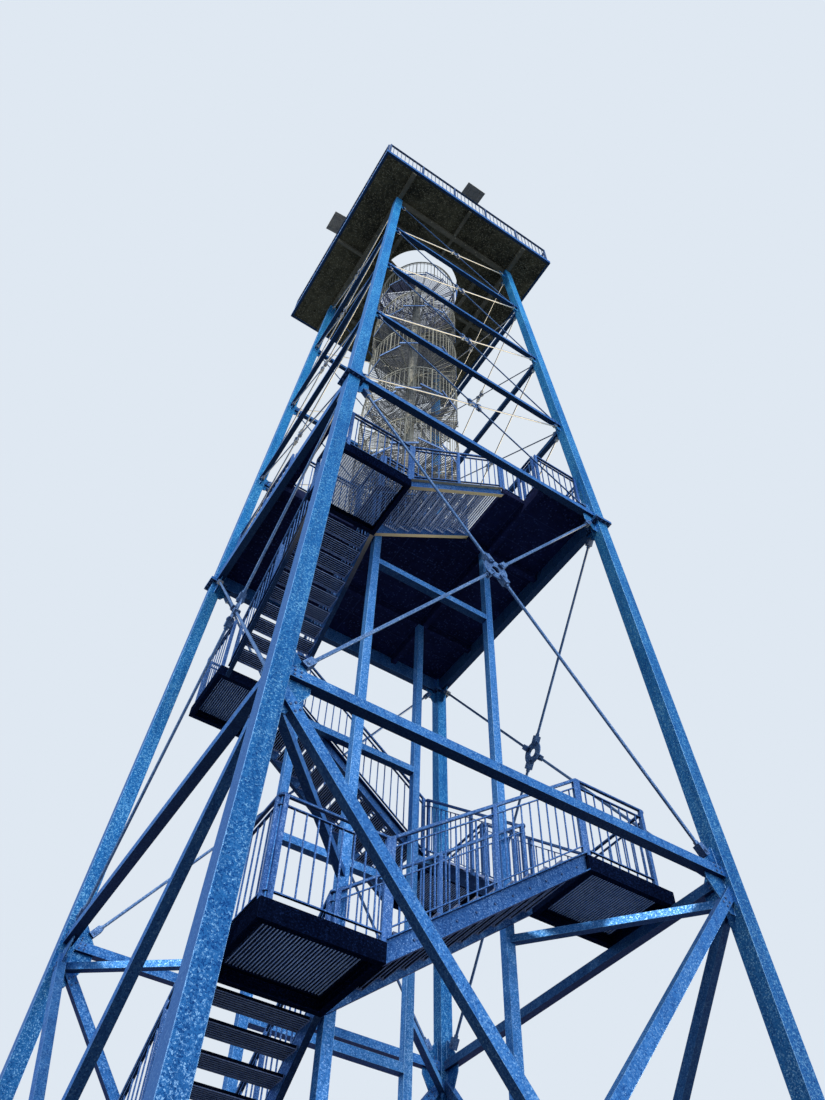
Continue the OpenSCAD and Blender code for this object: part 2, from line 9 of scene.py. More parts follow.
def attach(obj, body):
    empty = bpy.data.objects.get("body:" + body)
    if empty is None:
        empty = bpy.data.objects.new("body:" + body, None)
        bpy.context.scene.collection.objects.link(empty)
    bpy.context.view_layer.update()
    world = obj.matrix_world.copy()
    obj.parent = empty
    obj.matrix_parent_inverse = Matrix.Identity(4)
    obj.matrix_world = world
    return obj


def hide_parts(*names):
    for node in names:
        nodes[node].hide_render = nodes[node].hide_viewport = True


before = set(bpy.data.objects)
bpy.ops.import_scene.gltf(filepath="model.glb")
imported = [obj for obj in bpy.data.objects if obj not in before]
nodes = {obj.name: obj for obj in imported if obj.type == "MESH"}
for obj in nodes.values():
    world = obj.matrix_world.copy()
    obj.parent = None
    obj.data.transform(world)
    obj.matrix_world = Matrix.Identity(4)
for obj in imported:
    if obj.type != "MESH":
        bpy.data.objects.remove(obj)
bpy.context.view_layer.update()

# Steel frame, in metres, as the part's source has it
HALF0, BATTER = 3.113, 0.0432
LEAN = math.atan(BATTER)
LEVEL = [7.238, 14.343, 17.944, 21.401, 24.832]
LEG_W, BEAM_W, UPPER_BEAM_W, LEG_TOP = 0.200, 0.120, 0.100, 27.890

# Stair round the core: lanes, channels, risers, steps of each flight and height of each landing
LANE_W, CH_W, CH_T, FRAME_D = 1.130, 0.070, 0.012, 0.190
RISER, TREAD_D, SEAT, RAIL_H = 0.1745, 0.270, 0.0003, 1.100
FLIGHTS, LANDINGS = 8, 7
STEPS = [10] + [11] * 6 + [8]
Z_LAND = [LEVEL[0] + 0.080 + 0.060 + FRAME_D + 0.003 + RISER * 11 * (k - 3) for k in range(LANDINGS)]
IX0, IX1, IY0, IY1 = -1.020, 1.540, -0.870, 1.420
CORE = [(IX0 + 0.095, IY0 + 0.070), (IX1 - 0.285, IY0 + 0.070),
        (IX1 - 0.285, IY1 - 0.100), (IX0 + 0.095, IY1 - 0.100)]
LAND_CORNER = [(IX1, IY1), (IX0 - LANE_W, IY1), (IX0 - LANE_W, IY0 - LANE_W), (IX1, IY0 - LANE_W)]

# Decks and spiral stair
DECK_Z, DECK_T = Z_LAND[6] + 8 * RISER, 0.120
TOP_Z, TOP_T = 28.150, 0.100
SPIRAL_R, COLUMN_R = 1.150, 0.110
N_SPIRAL, STEPS_TURN, START = 72, 13, math.radians(-40)
SPIRAL_RISE = (TOP_Z - DECK_Z) / N_SPIRAL

# Gratings: spacing of the bearing bars, and how far their lower edges lie under the walked face
BAR_PITCH, EDGE_DROP = 0.034, 0.0345

# Each crossed bay of ties: lower and upper level, corner insets, and the sizes of rod, ring plate and fork
UPPER_TIE = (0.028, 0.220, 0.090)
TIES = [(LEVEL[0], LEVEL[1], (0.250, 0.260), (0.230, 0.140), 0.042, 0.380, 0.150),
        (LEVEL[1], LEVEL[2], (0.190, 0.400), (0.180, 0.100)) + UPPER_TIE,
        (LEVEL[2], LEVEL[3], (0.180, 0.100), (0.180, 0.100)) + UPPER_TIE,
        (LEVEL[3], LEVEL[4], (0.180, 0.100), (0.180, 0.100)) + UPPER_TIE,
        (LEVEL[4], LEG_TOP - 0.260, (0.180, 0.100), (0.180, 0.060)) + UPPER_TIE]


def half_at(z):
    """Half the distance between leg centre lines at height z: a straight taper."""
    return HALF0 - BATTER * z


def slope_at(z):
    """Distance up the leaning side to height z: the height over the cosine of the lean."""
    return z / math.cos(LEAN)


# Spangle: the width of the zinc crystals in metres, which grow with the thickness of the steel.
# On the near leg they show singly. High on the tower they are finer than the picture and give only its tone.
THICK, CHANNEL, THIN, SMALL = 0.014, 0.012, 0.010, 0.006
# Slow patches in the zinc 0.9 m across, and dull runs 90 mm wide and 1.25 m long, both as one over the size
CLOUD, RUNS = 1.1, (11.0, 11.0, 0.8)
# Deck plates: damp stains 1.25 m across and cloudy patches of 110 mm, as one over the size
STAIN, PATCH = 0.8, 9.0
# White rust makes specks of 3 to 10 mm. That is too fine to show from below, so a speck here fills half of a
# cell of this many metres: on the lower deck, on the top deck and on its beams.
SPECK_LOW, SPECK_TOP, SPECK_BEAM = 0.040, 0.034, 0.060
# Sheet joints of the lower deck's plates: how far apart and how wide, in metres
SHEET, JOINT = 0.62, 0.006
# Rolled corners of the box sections of legs and beams, and of the channels, in metres: the radius of their
# rounded shading and of the painted highlight along them
CORNER_LEG, CORNER_BEAM, CORNER_CHANNEL = 0.012, 0.008, 0.006
# Spangle stands up by some 0.05 mm, which is too fine to show, so its relief is drawn 1.2 mm deep, and that
# of the deck plates 2 mm
RELIEF, PLATE_RELIEF = 0.0012, 0.002


def linear(code):
    """An sRGB hex value as linear red, green, blue and alpha."""
    c = [int(code[i:i + 2], 16) / 255 for i in (1, 3, 5)]
    return [v / 12.92 if v <= 0.04045 else ((v + 0.055) / 1.055) ** 2.4 for v in c] + [1.0]


def add(tree, kind, settings=None, stops=None, **links):
    """Adds one node: its properties and socket values, a ramp's stops, and its links by the socket's name, or
    by i and its number."""
    n = tree.nodes.new(kind)
    for key, value in (settings or {}).items():
        if isinstance(key, str) and hasattr(n, key) and key not in n.inputs:
            setattr(n, key, value)
        else:
            n.inputs[key].default_value = value
    if stops:
        while len(n.color_ramp.elements) < len(stops):
            n.color_ramp.elements.new(0.5)
        for element, (place, code) in zip(n.color_ramp.elements, stops):
            element.position = place
            element.color = linear(code)
    for key, source in links.items():
        numbered = key[0] == "i" and key[1:].isdigit()
        socket = n.inputs[int(key[1:])] if numbered else n.inputs[key.replace("_", " ")]
        tree.links.new(source, socket)
    return n


def start_material(name):
    """A new material: itself, its node tree and its shader."""
    mat = bpy.data.materials.new(name)
    mat.use_nodes = True
    return mat, mat.node_tree, mat.node_tree.nodes["Principled BSDF"]


def zinc(name, dark, mid, light, grain, metal=0.5, rough=(0.36, 0.60), under=0.15, inner=0.40, sides=1.0,
         rise=None, edge=0.0, sky_side=None, warm=None, shine=0.20, tint="#5f8fd6"):
    """Hot-dip galvanised steel. Zinc crystals (spangle, grain metres across) make flat patches of differing
    grey-blue, with a finer second size between them, dull runs down the surface and slow cloudy patches.
    Painted shade: faces that look down, or left into the tower, are mixed towards nearly black (under and
    inner: the share of the zinc's colour that is left), and sides does the same to upright faces of bars that
    stand close together. rise holds what the red, green and blue are multiplied by low and high on the tower, a
    painted light and shade by height; edge the radius of the rounded corners, which also get a painted
    highlight; weather the pale tone of a painted sky light on the outer faces that look left; and warm the tone
    of a painted sunlight on the lower edges high up, on the right. shine is the specular level, and tint the
    colour of the zinc's glancing reflections."""
    mat, t, sh = start_material(name)
    coord = add(t, "ShaderNodeTexCoord")
    co, nr = coord.outputs["Object"], coord.outputs["Normal"]
    at = add(t, "ShaderNodeSeparateXYZ", i0=co)
    to = add(t, "ShaderNodeSeparateXYZ", i0=nr)

    # spangle of two sizes, cloudy patches and dull runs
    big = add(t, "ShaderNodeTexVoronoi", {"Scale": 1 / grain}, Vector=co)
    fine = add(t, "ShaderNodeTexVoronoi", {"Scale": 2.3 / grain}, Vector=co)
    cloud = add(t, "ShaderNodeTexNoise", {"Scale": CLOUD, "Detail": 4.0, "Roughness": 0.6}, Vector=co)
    runs_at = add(t, "ShaderNodeMapping", {"Scale": RUNS}, Vector=co)
    runs = add(t, "ShaderNodeTexNoise", {"Scale": 1.0, "Detail": 3.0, "Roughness": 0.55},
               Vector=runs_at.outputs[0])
    cell = add(t, "ShaderNodeSeparateColor", i0=big.outputs["Color"]).outputs[0]
    cell2 = add(t, "ShaderNodeSeparateColor", i0=fine.outputs["Color"]).outputs[1]
    fleck = add(t, "ShaderNodeMath", {"operation": "MULTIPLY", 1: 0.34}, i0=cell2)
    spangle = add(t, "ShaderNodeMath", {"operation": "MULTIPLY_ADD", 1: 0.46}, i0=cell, i2=fleck.outputs[0])
    tone = add(t, "ShaderNodeMath", {"operation": "MULTIPLY_ADD", 1: 0.34},
               i0=cloud.outputs[0], i2=spangle.outputs[0])
    base = add(t, "ShaderNodeValToRGB", stops=[(0.26, dark), (0.50, mid), (0.71, mid), (0.90, light)],
               i0=tone.outputs[0])
    dull = add(t, "ShaderNodeMapRange", {"From Min": 0.46, "From Max": 0.70, "To Max": 0.35},
               Value=runs.outputs[0])
    worn = add(t, "ShaderNodeMix", {"data_type": "RGBA", "blend_type": "MULTIPLY", 7: linear("#7f92b0")},
               i0=dull.outputs[0], i6=base.outputs[0])
    colour = worn.outputs[2]
    normal = None

    # painted light and shade: the colour changes with height, paler high on the tower
    if rise:
        height = add(t, "ShaderNodeMapRange", {"From Min": 2.0, "From Max": 26.0}, Value=at.outputs[2])
        pale = add(t, "ShaderNodeMix", {"data_type": "VECTOR", 4: rise[0], 5: rise[1]}, i0=height.outputs[0])
        lift = add(t, "ShaderNodeVectorMath", {"operation": "MULTIPLY"}, i0=colour, i1=pale.outputs[1])
        colour = lift.outputs[0]

    # facing is above 0 on faces that look away from the tower's axis and below 0 on those that look into it
    flat_n = add(t, "ShaderNodeVectorMath", {"operation": "MULTIPLY", 1: (1, 0.25, 0)}, i0=nr)
    flat_p = add(t, "ShaderNodeVectorMath", {"operation": "MULTIPLY", 1: (1, 1, 0)}, i0=co)
    out_p = add(t, "ShaderNodeVectorMath", {"operation": "NORMALIZE"}, i0=flat_p.outputs[0])
    facing = add(t, "ShaderNodeVectorMath", {"operation": "DOT_PRODUCT"},
                 i0=flat_n.outputs[0], i1=out_p.outputs[0])
    # painted sky light: outer faces that look left are mixed towards a pale tone
    if sky_side:
        left = add(t, "ShaderNodeMapRange", {"From Min": -0.55, "From Max": -0.90}, Value=to.outputs[0])
        outer = add(t, "ShaderNodeMapRange", {"From Min": 0.15, "From Max": 0.45, "To Max": 0.60},
                    Value=facing.outputs["Value"])
        both = add(t, "ShaderNodeMath", {"operation": "MULTIPLY"}, i0=left.outputs[0], i1=outer.outputs[0])
        painted_sky_light = add(t, "ShaderNodeMix", {"data_type": "RGBA", 7: linear(sky_side)},
                    i0=both.outputs[0], i6=colour)
        colour = painted_sky_light.outputs[2]

    # painted highlight: bright corners, where the rounded normal parts from the true one; the rounded normal
    # also shades them
    if edge:
        round_n = add(t, "ShaderNodeBevel", {"samples": 4, "Radius": edge})
        true_n = add(t, "ShaderNodeNewGeometry")
        bend = add(t, "ShaderNodeVectorMath", {"operation": "DOT_PRODUCT"},
                   i0=round_n.outputs[0], i1=true_n.outputs["Normal"])
        painted_corner_highlight = add(t, "ShaderNodeMapRange", {"From Min": 0.985, "From Max": 0.86, "To Max": 0.75},
                  Value=bend.outputs["Value"])
        bright = add(t, "ShaderNodeMix", {"data_type": "RGBA", 7: linear(light)},
                     i0=painted_corner_highlight.outputs[0], i6=colour)
        colour = bright.outputs[2]
        normal = round_n.outputs[0]

    # painted shade: faces that look down or into the tower, and upright sides of close bars, are mixed towards
    # near black
    low = add(t, "ShaderNodeMapRange", {"From Min": -0.25, "From Max": -0.70, "To Min": 1.0, "To Max": under},
              Value=to.outputs[2])
    inward = add(t, "ShaderNodeMapRange",
                 {"From Min": -0.25, "From Max": -0.60, "To Min": 1.0, "To Max": inner},
                 Value=facing.outputs["Value"])
    unshaded_share = add(t, "ShaderNodeMath", {"operation": "MULTIPLY"}, i0=low.outputs[0], i1=inward.outputs[0])
    if sides < 1.0:
        tilt = add(t, "ShaderNodeMath", {"operation": "ABSOLUTE"}, i0=to.outputs[2])
        wall = add(t, "ShaderNodeMapRange", {"From Min": 0.2, "From Max": 0.7, "To Min": sides},
                   Value=tilt.outputs[0])
        unshaded_share = add(t, "ShaderNodeMath", {"operation": "MULTIPLY"}, i0=unshaded_share.outputs[0], i1=wall.outputs[0])
    painted_shade = add(t, "ShaderNodeMix", {"data_type": "RGBA", 6: linear("#0d1322")},
               i0=unshaded_share.outputs[0], i7=colour)
    colour = painted_shade.outputs[2]

    # painted sunlight: lower edges that face right and down, high on the tower, are mixed towards a pale sunlit
    # tone
    if warm:
        high = add(t, "ShaderNodeMapRange", {"From Min": 12.5, "From Max": 15.0}, Value=at.outputs[2])
        side = add(t, "ShaderNodeVectorMath", {"operation": "DOT_PRODUCT", 1: (0.62, -0.10, -0.78)}, i0=nr)
        lower = add(t, "ShaderNodeMapRange", {"From Min": 0.45, "From Max": 0.85},
                    Value=side.outputs["Value"])
        both = add(t, "ShaderNodeMath", {"operation": "MULTIPLY"}, i0=high.outputs[0], i1=lower.outputs[0])
        painted_sunlit_edge = add(t, "ShaderNodeMix", {"data_type": "RGBA", 7: linear(warm)}, i0=both.outputs[0], i6=colour)
        colour = painted_sunlit_edge.outputs[2]

    gloss = add(t, "ShaderNodeMapRange", {"To Min": rough[1], "To Max": rough[0]}, Value=spangle.outputs[0])
    relief = add(t, "ShaderNodeBump", {"Strength": 0.25, "Distance": RELIEF}, Height=spangle.outputs[0])
    if normal:
        t.links.new(normal, relief.inputs["Normal"])
    t.links.new(colour, sh.inputs["Base Color"])
    t.links.new(gloss.outputs[0], sh.inputs["Roughness"])
    t.links.new(relief.outputs[0], sh.inputs["Normal"])
    sh.inputs["Metallic"].default_value = metal
    sh.inputs["Specular IOR Level"].default_value = shine
    sh.inputs["Specular Tint"].default_value = linear(tint)
    return mat


def plate(name, dark, mid, fleck, size, share, seam=0.0):
    """Weathered deck plate seen from below: dull zinc in cloudy patches, whose dark colours are partly painted
    shade, pale specks of white rust, one in each cell of size metres for that share of the cells, and the faint
    lines of the sheet joints every seam metres. The upper face is walked free of dirt and dries in the wind, so
    it is pale grey in the same patches."""
    mat, t, sh = start_material(name)
    coord = add(t, "ShaderNodeTexCoord")
    co = coord.outputs["Object"]
    to = add(t, "ShaderNodeSeparateXYZ", i0=coord.outputs["Normal"])

    # cloudy patches
    stain = add(t, "ShaderNodeTexNoise", {"Scale": STAIN, "Detail": 6.0, "Roughness": 0.65}, Vector=co)
    patch = add(t, "ShaderNodeTexNoise", {"Scale": PATCH, "Detail": 3.0, "Roughness": 0.7}, Vector=co)
    cloudy = add(t, "ShaderNodeMath", {"operation": "MULTIPLY_ADD", 1: 0.5, 2: -0.25}, i0=patch.outputs[0])
    both = add(t, "ShaderNodeMath", {"operation": "ADD"}, i0=stain.outputs[0], i1=cloudy.outputs[0])
    base = add(t, "ShaderNodeValToRGB", stops=[(0.34, dark), (0.66, mid)], i0=both.outputs[0])

    # specks of white rust
    speck = add(t, "ShaderNodeTexVoronoi", {"Scale": 1 / size}, Vector=co)
    cell = add(t, "ShaderNodeSeparateColor", i0=speck.outputs["Color"]).outputs[0]
    pick = add(t, "ShaderNodeMapRange", {"From Min": 1 - share, "From Max": 1 - share / 3, "To Max": 0.65},
               Value=cell)
    near = add(t, "ShaderNodeMapRange", {"From Min": 0.50, "From Max": 0.25}, Value=speck.outputs["Distance"])
    amount = add(t, "ShaderNodeMath", {"operation": "MULTIPLY"}, i0=pick.outputs[0], i1=near.outputs[0])
    rust = add(t, "ShaderNodeMix", {"data_type": "RGBA", 7: linear(fleck)},
               i0=amount.outputs[0], i6=base.outputs[0])
    colour = rust.outputs[2]

    # sheet joints
    if seam:
        sheets = add(t, "ShaderNodeTexBrick", {"Scale": 1.0, "Mortar Size": JOINT, "Mortar Smooth": 0.3,
                                               "Brick Width": seam * 2, "Row Height": seam, "offset": 0.0},
                     Vector=co)
        joint = add(t, "ShaderNodeMath", {"operation": "MULTIPLY", 1: 0.35}, i0=sheets.outputs["Fac"])
        lines = add(t, "ShaderNodeMix", {"data_type": "RGBA", 7: linear(fleck)},
                    i0=joint.outputs[0], i6=colour)
        colour = lines.outputs[2]

    # walked upper face
    trodden = add(t, "ShaderNodeValToRGB", stops=[(0.30, "#5b6470"), (0.60, "#78818e"), (0.80, "#9aa3ae")],
                  i0=both.outputs[0])
    above = add(t, "ShaderNodeMapRange", {"From Min": 0.4, "From Max": 0.7}, Value=to.outputs[2])
    faces = add(t, "ShaderNodeMix", {"data_type": "RGBA"},
                i0=above.outputs[0], i6=colour, i7=trodden.outputs[0])

    relief = add(t, "ShaderNodeBump", {"Strength": 0.3, "Distance": PLATE_RELIEF}, Height=both.outputs[0])
    t.links.new(faces.outputs[2], sh.inputs["Base Color"])
    t.links.new(relief.outputs[0], sh.inputs["Normal"])
    sh.inputs["Metallic"].default_value = 0.0
    sh.inputs["Roughness"].default_value = 0.70
    sh.inputs["Specular IOR Level"].default_value = 0.03
    return mat


# Box sections of the legs, dipped after welding: a mottled blue post with painted highlights on its corners, a
# pale painted sky light on its outer side that looks left, painted shade on its inner faces, and painted light
# that makes it paler towards the top
LEG_ZINC = zinc("hot_dip_zinc_on_legs", "#113f86", "#2a69b0", "#8abcee", THICK, 0.6,
                inner=0.75, edge=CORNER_LEG, sky_side="#557fba", rise=((0.92, 0.78, 0.70), (1.30, 2.20, 1.65)))
# The same on ring beams and braces: blue sides over lower faces held nearly black by painted shade, with
# painted highlights on their corners
BEAM_ZINC = zinc("hot_dip_zinc_on_beams", "#1f5090", "#3e7abb", "#86b4e0", THICK, 0.6,
                 under=0.08, inner=0.38, edge=CORNER_BEAM)
# Posts of the stair core: the lightest blue of all, with painted highlights on their corners and painted shade
# on their inner faces
CORE_ZINC = zinc("hot_dip_zinc_on_stair_posts", "#25609f", "#4888ca", "#9ccaf5", THICK, 0.6,
                 under=0.15, inner=0.85, edge=CORNER_BEAM)
# Round bar of the ties, greyer than the sections: thin lines, with a cream painted sunlight along their lower
# edge high up
ROD_ZINC = zinc("zinc_on_tie_rods", "#34557c", "#5a80b4", "#b0c8e4", THIN, 0.6,
                under=0.25, inner=0.45, warm="#fff2d2", tint="#9fb4d6")
# Thin tube and bar of the stair and lower deck rails: soft blue with a pale glint
RAIL_ZINC = zinc("zinc_on_rails", "#2a4f88", "#4c78b6", "#a9c8ee", THIN, 0.6, under=0.10, inner=0.60)
# Rails of the top deck: dull slate lines against the light
TOP_RAIL = zinc("zinc_on_top_rails", "#2f4463", "#4e6688", "#a6bad4", THIN, 0.6, under=0.20, inner=0.60)
# Lower edges of the landing gratings' bearing bars, which alone catch the light from below: pale stripes
BAR_ZINC = zinc("zinc_on_grating_bars", "#9cbcf0", "#c2d8fc", "#e4eefc", THIN, 0.1, (0.42, 0.68),
                under=1.0, inner=1.0)
# Bars above those edges, which shade one another: the dark between the stripes, made much paler high on the
# tower by painted light
MESH_ZINC = zinc("shaded_zinc_in_gratings", "#080e1e", "#0e172d", "#2a3b5c", THIN, 0.0, (0.50, 0.70),
                 under=0.7, inner=1.0, rise=((1.0, 1.0, 1.0), (12.0, 13.0, 11.0)), shine=0.05)
# The same in the treads, where flight lies over flight: almost black
TREAD_DARK = zinc("shaded_zinc_in_treads", "#050812", "#080d1c", "#18233c", THIN, 0.0, (0.60, 0.80),
                  under=0.7, inner=1.0, shine=0.02)
# Lower edges of the treads' bearing bars, with painted shade and light by height: grey on the low flights,
# bright on the high ones
TREAD_ZINC = zinc("zinc_on_tread_bars", "#98aee0", "#b8ccf6", "#dce6fa", THIN, 0.1, (0.45, 0.68),
                  under=1.0, inner=1.0, rise=((0.22, 0.22, 0.24), (1.90, 1.90, 1.85)))
# The same edges on the open top flight, painted lighter for the light there: the brightest stripes
HEAD_ZINC = zinc("zinc_on_top_flight_treads", "#b4c8ec", "#d8e4fa", "#f0f4fb", THIN, 0.1, (0.45, 0.68),
                 under=1.0, inner=1.0)
# Chalky zinc of the spiral stair, dried out, its cream partly a painted warm light: cream and grey, with no
# blue in it
SPIRAL_ZINC = zinc("zinc_on_spiral_stair", "#73766f", "#a5a498", "#e2ddc8", THIN, 0.5, (0.40, 0.66),
                   under=0.60, inner=0.80, tint="#b4b4ae")
# Edge bars of the spiral's highest treads, in the shade of the top deck: dark outlines
SPIRAL_DARK = zinc("shaded_zinc_on_spiral_head", "#0c0f18", "#151a28", "#3a445a", THIN, 0.0, (0.5, 0.7),
                   under=0.8, inner=0.9, shine=0.05)
# Grating of the spiral's treads: grey bars with sides darkened by painted shade, because they stand close
# together
SPIRAL_MESH = zinc("zinc_in_spiral_treads", "#62646c", "#8c8e92", "#c8c6ba", THIN, 0.1, (0.45, 0.68),
                   under=0.9, inner=1.0, sides=0.7)
# Grating of the highest treads, with the light behind it: lilac grey
HEAD_MESH = zinc("zinc_in_spiral_head_treads", "#666b94", "#9299c6", "#bcc1e0", THIN, 0.1, (0.45, 0.68),
                 under=1.0, inner=1.0, sides=0.6)
# Flat rim plates of the spiral's treads: a light blue band
RIM_ZINC = zinc("zinc_on_tread_rims", "#4c6fa6", "#7d9ed0", "#b9cdea", THIN, under=0.4, inner=0.35)
# Channels round the landings, in painted shade: nearly black navy, with a faint painted highlight on the
# corners
FRAME_ZINC = zinc("shaded_zinc_on_landing_frames", "#050a18", "#0b142c", "#1c2f56", CHANNEL, 0.5, (0.60, 0.80),
                  under=0.50, inner=0.80, edge=CORNER_CHANNEL, shine=0.0, tint="#182850")
# Channels that carry the treads: deep blue webs, and a straw yellow painted sunlight along their lower edges
# high up
STRING_ZINC = zinc("zinc_on_stair_stringers", "#1f4580", "#3c6aa4", "#8cb4e2", CHANNEL, 0.6,
                   under=0.10, inner=0.20, warm="#ffe6a8")
# Bolts and nuts, spun after dipping, so their crystals stay small: slate with light flecks
BOLT_ZINC = zinc("zinc_on_bolts", "#26344e", "#4c6690", "#a8bddb", SMALL, 0.6, under=0.5, inner=0.8)
# Underside of the lower deck, always in shade: dark navy with scattered pale specks and faint sheet joints
DECK_DARK = plate("shaded_deck_plate", "#0c102a", "#171e40", "#3a466e", SPECK_LOW, 0.40, SHEET)
# Underside of the top deck, with dust and rust on its zinc: mottled brown-grey, its warm tone partly painted
# warm light from below, thick with specks
TOP_DARK = plate("shaded_top_plate", "#2b2a22", "#5a5643", "#968f76", SPECK_TOP, 0.70)
# Beams under the top deck: the same brown-grey with the same painted warm light, plainer and lighter than the
# plate
TOP_BEAM = plate("shaded_top_beams", "#4e4c42", "#6b6759", "#a49d86", SPECK_BEAM, 0.20)
# View boards of bare sheet steel on the top rails: matt warm grey
BOARD = zinc("view_board_sheet", "#76756c", "#949188", "#b8b5a8", CHANNEL, 0.0, (0.5, 0.7),
             under=0.9, inner=0.9)


# Mesh tools: a shape is its points and a list of face arrays
SIGNS = np.array([[x, y, z] for z in (-1, 1) for y in (-1, 1) for x in (-1, 1)], float)
BOX_FACES = np.array([[0, 2, 3, 1], [4, 5, 7, 6], [0, 1, 5, 4], [2, 6, 7, 3], [0, 4, 6, 2], [1, 3, 7, 5]])
UP = np.array([0.0, 0.0, 1.0])


def boxes(centres, halves, axes=None):
    """Corners of many boxes: the centre plus every sign of the half sizes along each box's axes (rows)."""
    c = np.atleast_2d(np.asarray(centres, float))
    h = np.broadcast_to(np.asarray(halves, float), c.shape)
    local = SIGNS[None] * h[:, None, :]
    if axes is not None:
        local = np.einsum("nij,njk->nik", local, np.broadcast_to(np.asarray(axes, float), (len(c), 3, 3)))
    v = (c[:, None, :] + local).reshape(-1, 3)
    return v, [(BOX_FACES[None] + 8 * np.arange(len(c))[:, None, None]).reshape(-1, 4)]


def across(direction):
    """Two unit vectors square to each direction, by cross products."""
    d = direction / np.linalg.norm(direction, axis=-1, keepdims=True)
    ref = np.where(np.abs(d[..., 2:3]) < 0.9, [[0.0, 0.0, 1.0]], [[1.0, 0.0, 0.0]])
    u = np.cross(ref, d)
    u /= np.linalg.norm(u, axis=-1, keepdims=True)
    return u, np.cross(d, u)


def circles(direction, radius, sides):
    """Points of a circle square to each direction: radius times the cosine and sine along the two vectors
    that are square to it."""
    u, w = across(direction)
    a = np.arange(sides) * 2 * np.pi / sides
    return radius * (u[:, None] * np.cos(a)[None, :, None] + w[:, None] * np.sin(a)[None, :, None])


def tube_faces(sides, starts, ends):
    """Faces of bars of many sides: walls between each ring that starts a length and the next, and flat caps
    on the rings that end a bar. starts and ends are the numbers of those rings' first points."""
    i = np.arange(sides)
    j = (i + 1) % sides
    wall = (np.stack([i, j, j + sides, i + sides], 1)[None] + starts[:, None, None]).reshape(-1, 4)
    first, last = ends
    return [wall, i[::-1][None] + first[:, None], i[None] + last[:, None]]


def prisms(p, q, radius, sides=8):
    """Straight bars of many sides from p to q: a ring of points about each end, joined, with flat caps."""
    p, q = np.atleast_2d(np.asarray(p, float)), np.atleast_2d(np.asarray(q, float))
    ring = circles(q - p, radius, sides)
    v = np.concatenate([p[:, None] + ring, q[:, None] + ring], 1).reshape(-1, 3)
    base = 2 * sides * np.arange(len(p))
    return v, tube_faces(sides, base, (base, base + sides))


def sweep(points, radius, sides=10):
    """One round bar along a path: a ring square to the path at each of its points, joined, with flat caps."""
    pts = np.asarray(points, float)
    v = (pts[:, None] + circles(np.gradient(pts, axis=0), radius, sides)).reshape(-1, 3)
    starts = sides * np.arange(len(pts) - 1)
    return v, tube_faces(sides, starts, (starts[:1], starts[-1:] + sides))


def rings(centres, axis, r_in, r_out, depth, sides):
    """Flat rings: four circles (inner and outer, near and far) about each centre, joined all round."""
    c = np.atleast_2d(np.asarray(centres, float))
    d = np.broadcast_to(np.asarray(axis, float), c.shape)
    d = d / np.linalg.norm(d, axis=1, keepdims=True)
    circle = circles(d, 1.0, sides)
    parts = [c[:, None] + r * circle + s * d[:, None] * depth / 2
             for r, s in ((r_out, -1), (r_out, 1), (r_in, 1), (r_in, -1))]
    v = np.concatenate(parts, 1).reshape(-1, 3)
    i = np.arange(sides)
    j = (i + 1) % sides
    f = np.concatenate([np.stack([i + m * sides, j + m * sides, j + n * sides, i + n * sides], 1)
                        for m, n in ((0, 1), (1, 2), (2, 3), (3, 0))])
    return v, [(f[None] + 4 * sides * np.arange(len(c))[:, None, None]).reshape(-1, 4)]


def join(parts):
    """Joins shapes into one, with each part's face numbers moved on by the points before it."""
    verts, faces, base = [], {}, 0
    for v, groups in parts:
        verts.append(v)
        for f in groups:
            faces.setdefault(f.shape[1], []).append(f + base)
        base += len(v)
    return np.concatenate(verts), [np.concatenate(g) for g in faces.values()]


def turned(shape, quarter):
    """The same points after so many quarter turns about the tower's axis."""
    v, f = shape
    c, s = [(1, 0), (0, 1), (-1, 0), (0, -1)][quarter % 4]
    return np.stack([c * v[:, 0] - s * v[:, 1], s * v[:, 0] + c * v[:, 1], v[:, 2]], 1), f


def piece(name, shape, mat, smooth=False):
    """Puts the points and faces into a mesh, gives it its finish and lets it ride on the frame.
    Where smooth is set, faces of four corners, which are the walls of round bars, are shaded smooth."""
    v, groups = shape
    me = bpy.data.meshes.new(name)
    sizes = np.concatenate([np.full(len(g), g.shape[1]) for g in groups])
    me.vertices.add(len(v))
    me.vertices.foreach_set("co", np.round(v, 6).ravel())
    me.loops.add(int(sizes.sum()))
    me.loops.foreach_set("vertex_index", np.concatenate([g.ravel() for g in groups]).astype(np.int32))
    me.polygons.add(len(sizes))
    loop_starts = np.concatenate([[0], np.cumsum(sizes)[:-1]]).astype(np.int32)
    me.polygons.foreach_set("loop_start", loop_starts)
    me.polygons.foreach_set("use_smooth", (sizes == 4) & smooth)
    me.update(calc_edges=True)
    me.validate()
    me.materials.append(mat)
    obj = bpy.data.objects.new(name, me)
    bpy.context.collection.objects.link(obj)
    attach(obj, "root")
    return obj


# Stair
def flight(k):
    """Start point, heading, across vector, steps, run and rise of flight k. Each flight is a quarter turn on
    from the last. A flight of eleven steps runs the length of the core, and the others in proportion."""
    n = STEPS[k]
    run = ((IY1 - IY0) if k % 2 == 0 else (IX1 - IX0)) * n / 11
    z0 = 0.0 if k == 0 else Z_LAND[k - 1]
    rise = Z_LAND[0] if k == 0 else n * RISER
    x = [IX1 + LANE_W, IX1, IX0 - LANE_W, IX0][k % 4]
    y = [IY1 - run if k == 0 else IY0, IY1 + LANE_W, IY1, IY0 - LANE_W][k % 4]
    a = math.radians([90, 180, 270, 0][k % 4])
    along = np.array([math.cos(a), math.sin(a), 0.0])
    left = np.array([-math.sin(a), math.cos(a), 0.0])
    return np.array([x, y, z0]), along, left, n, run, rise


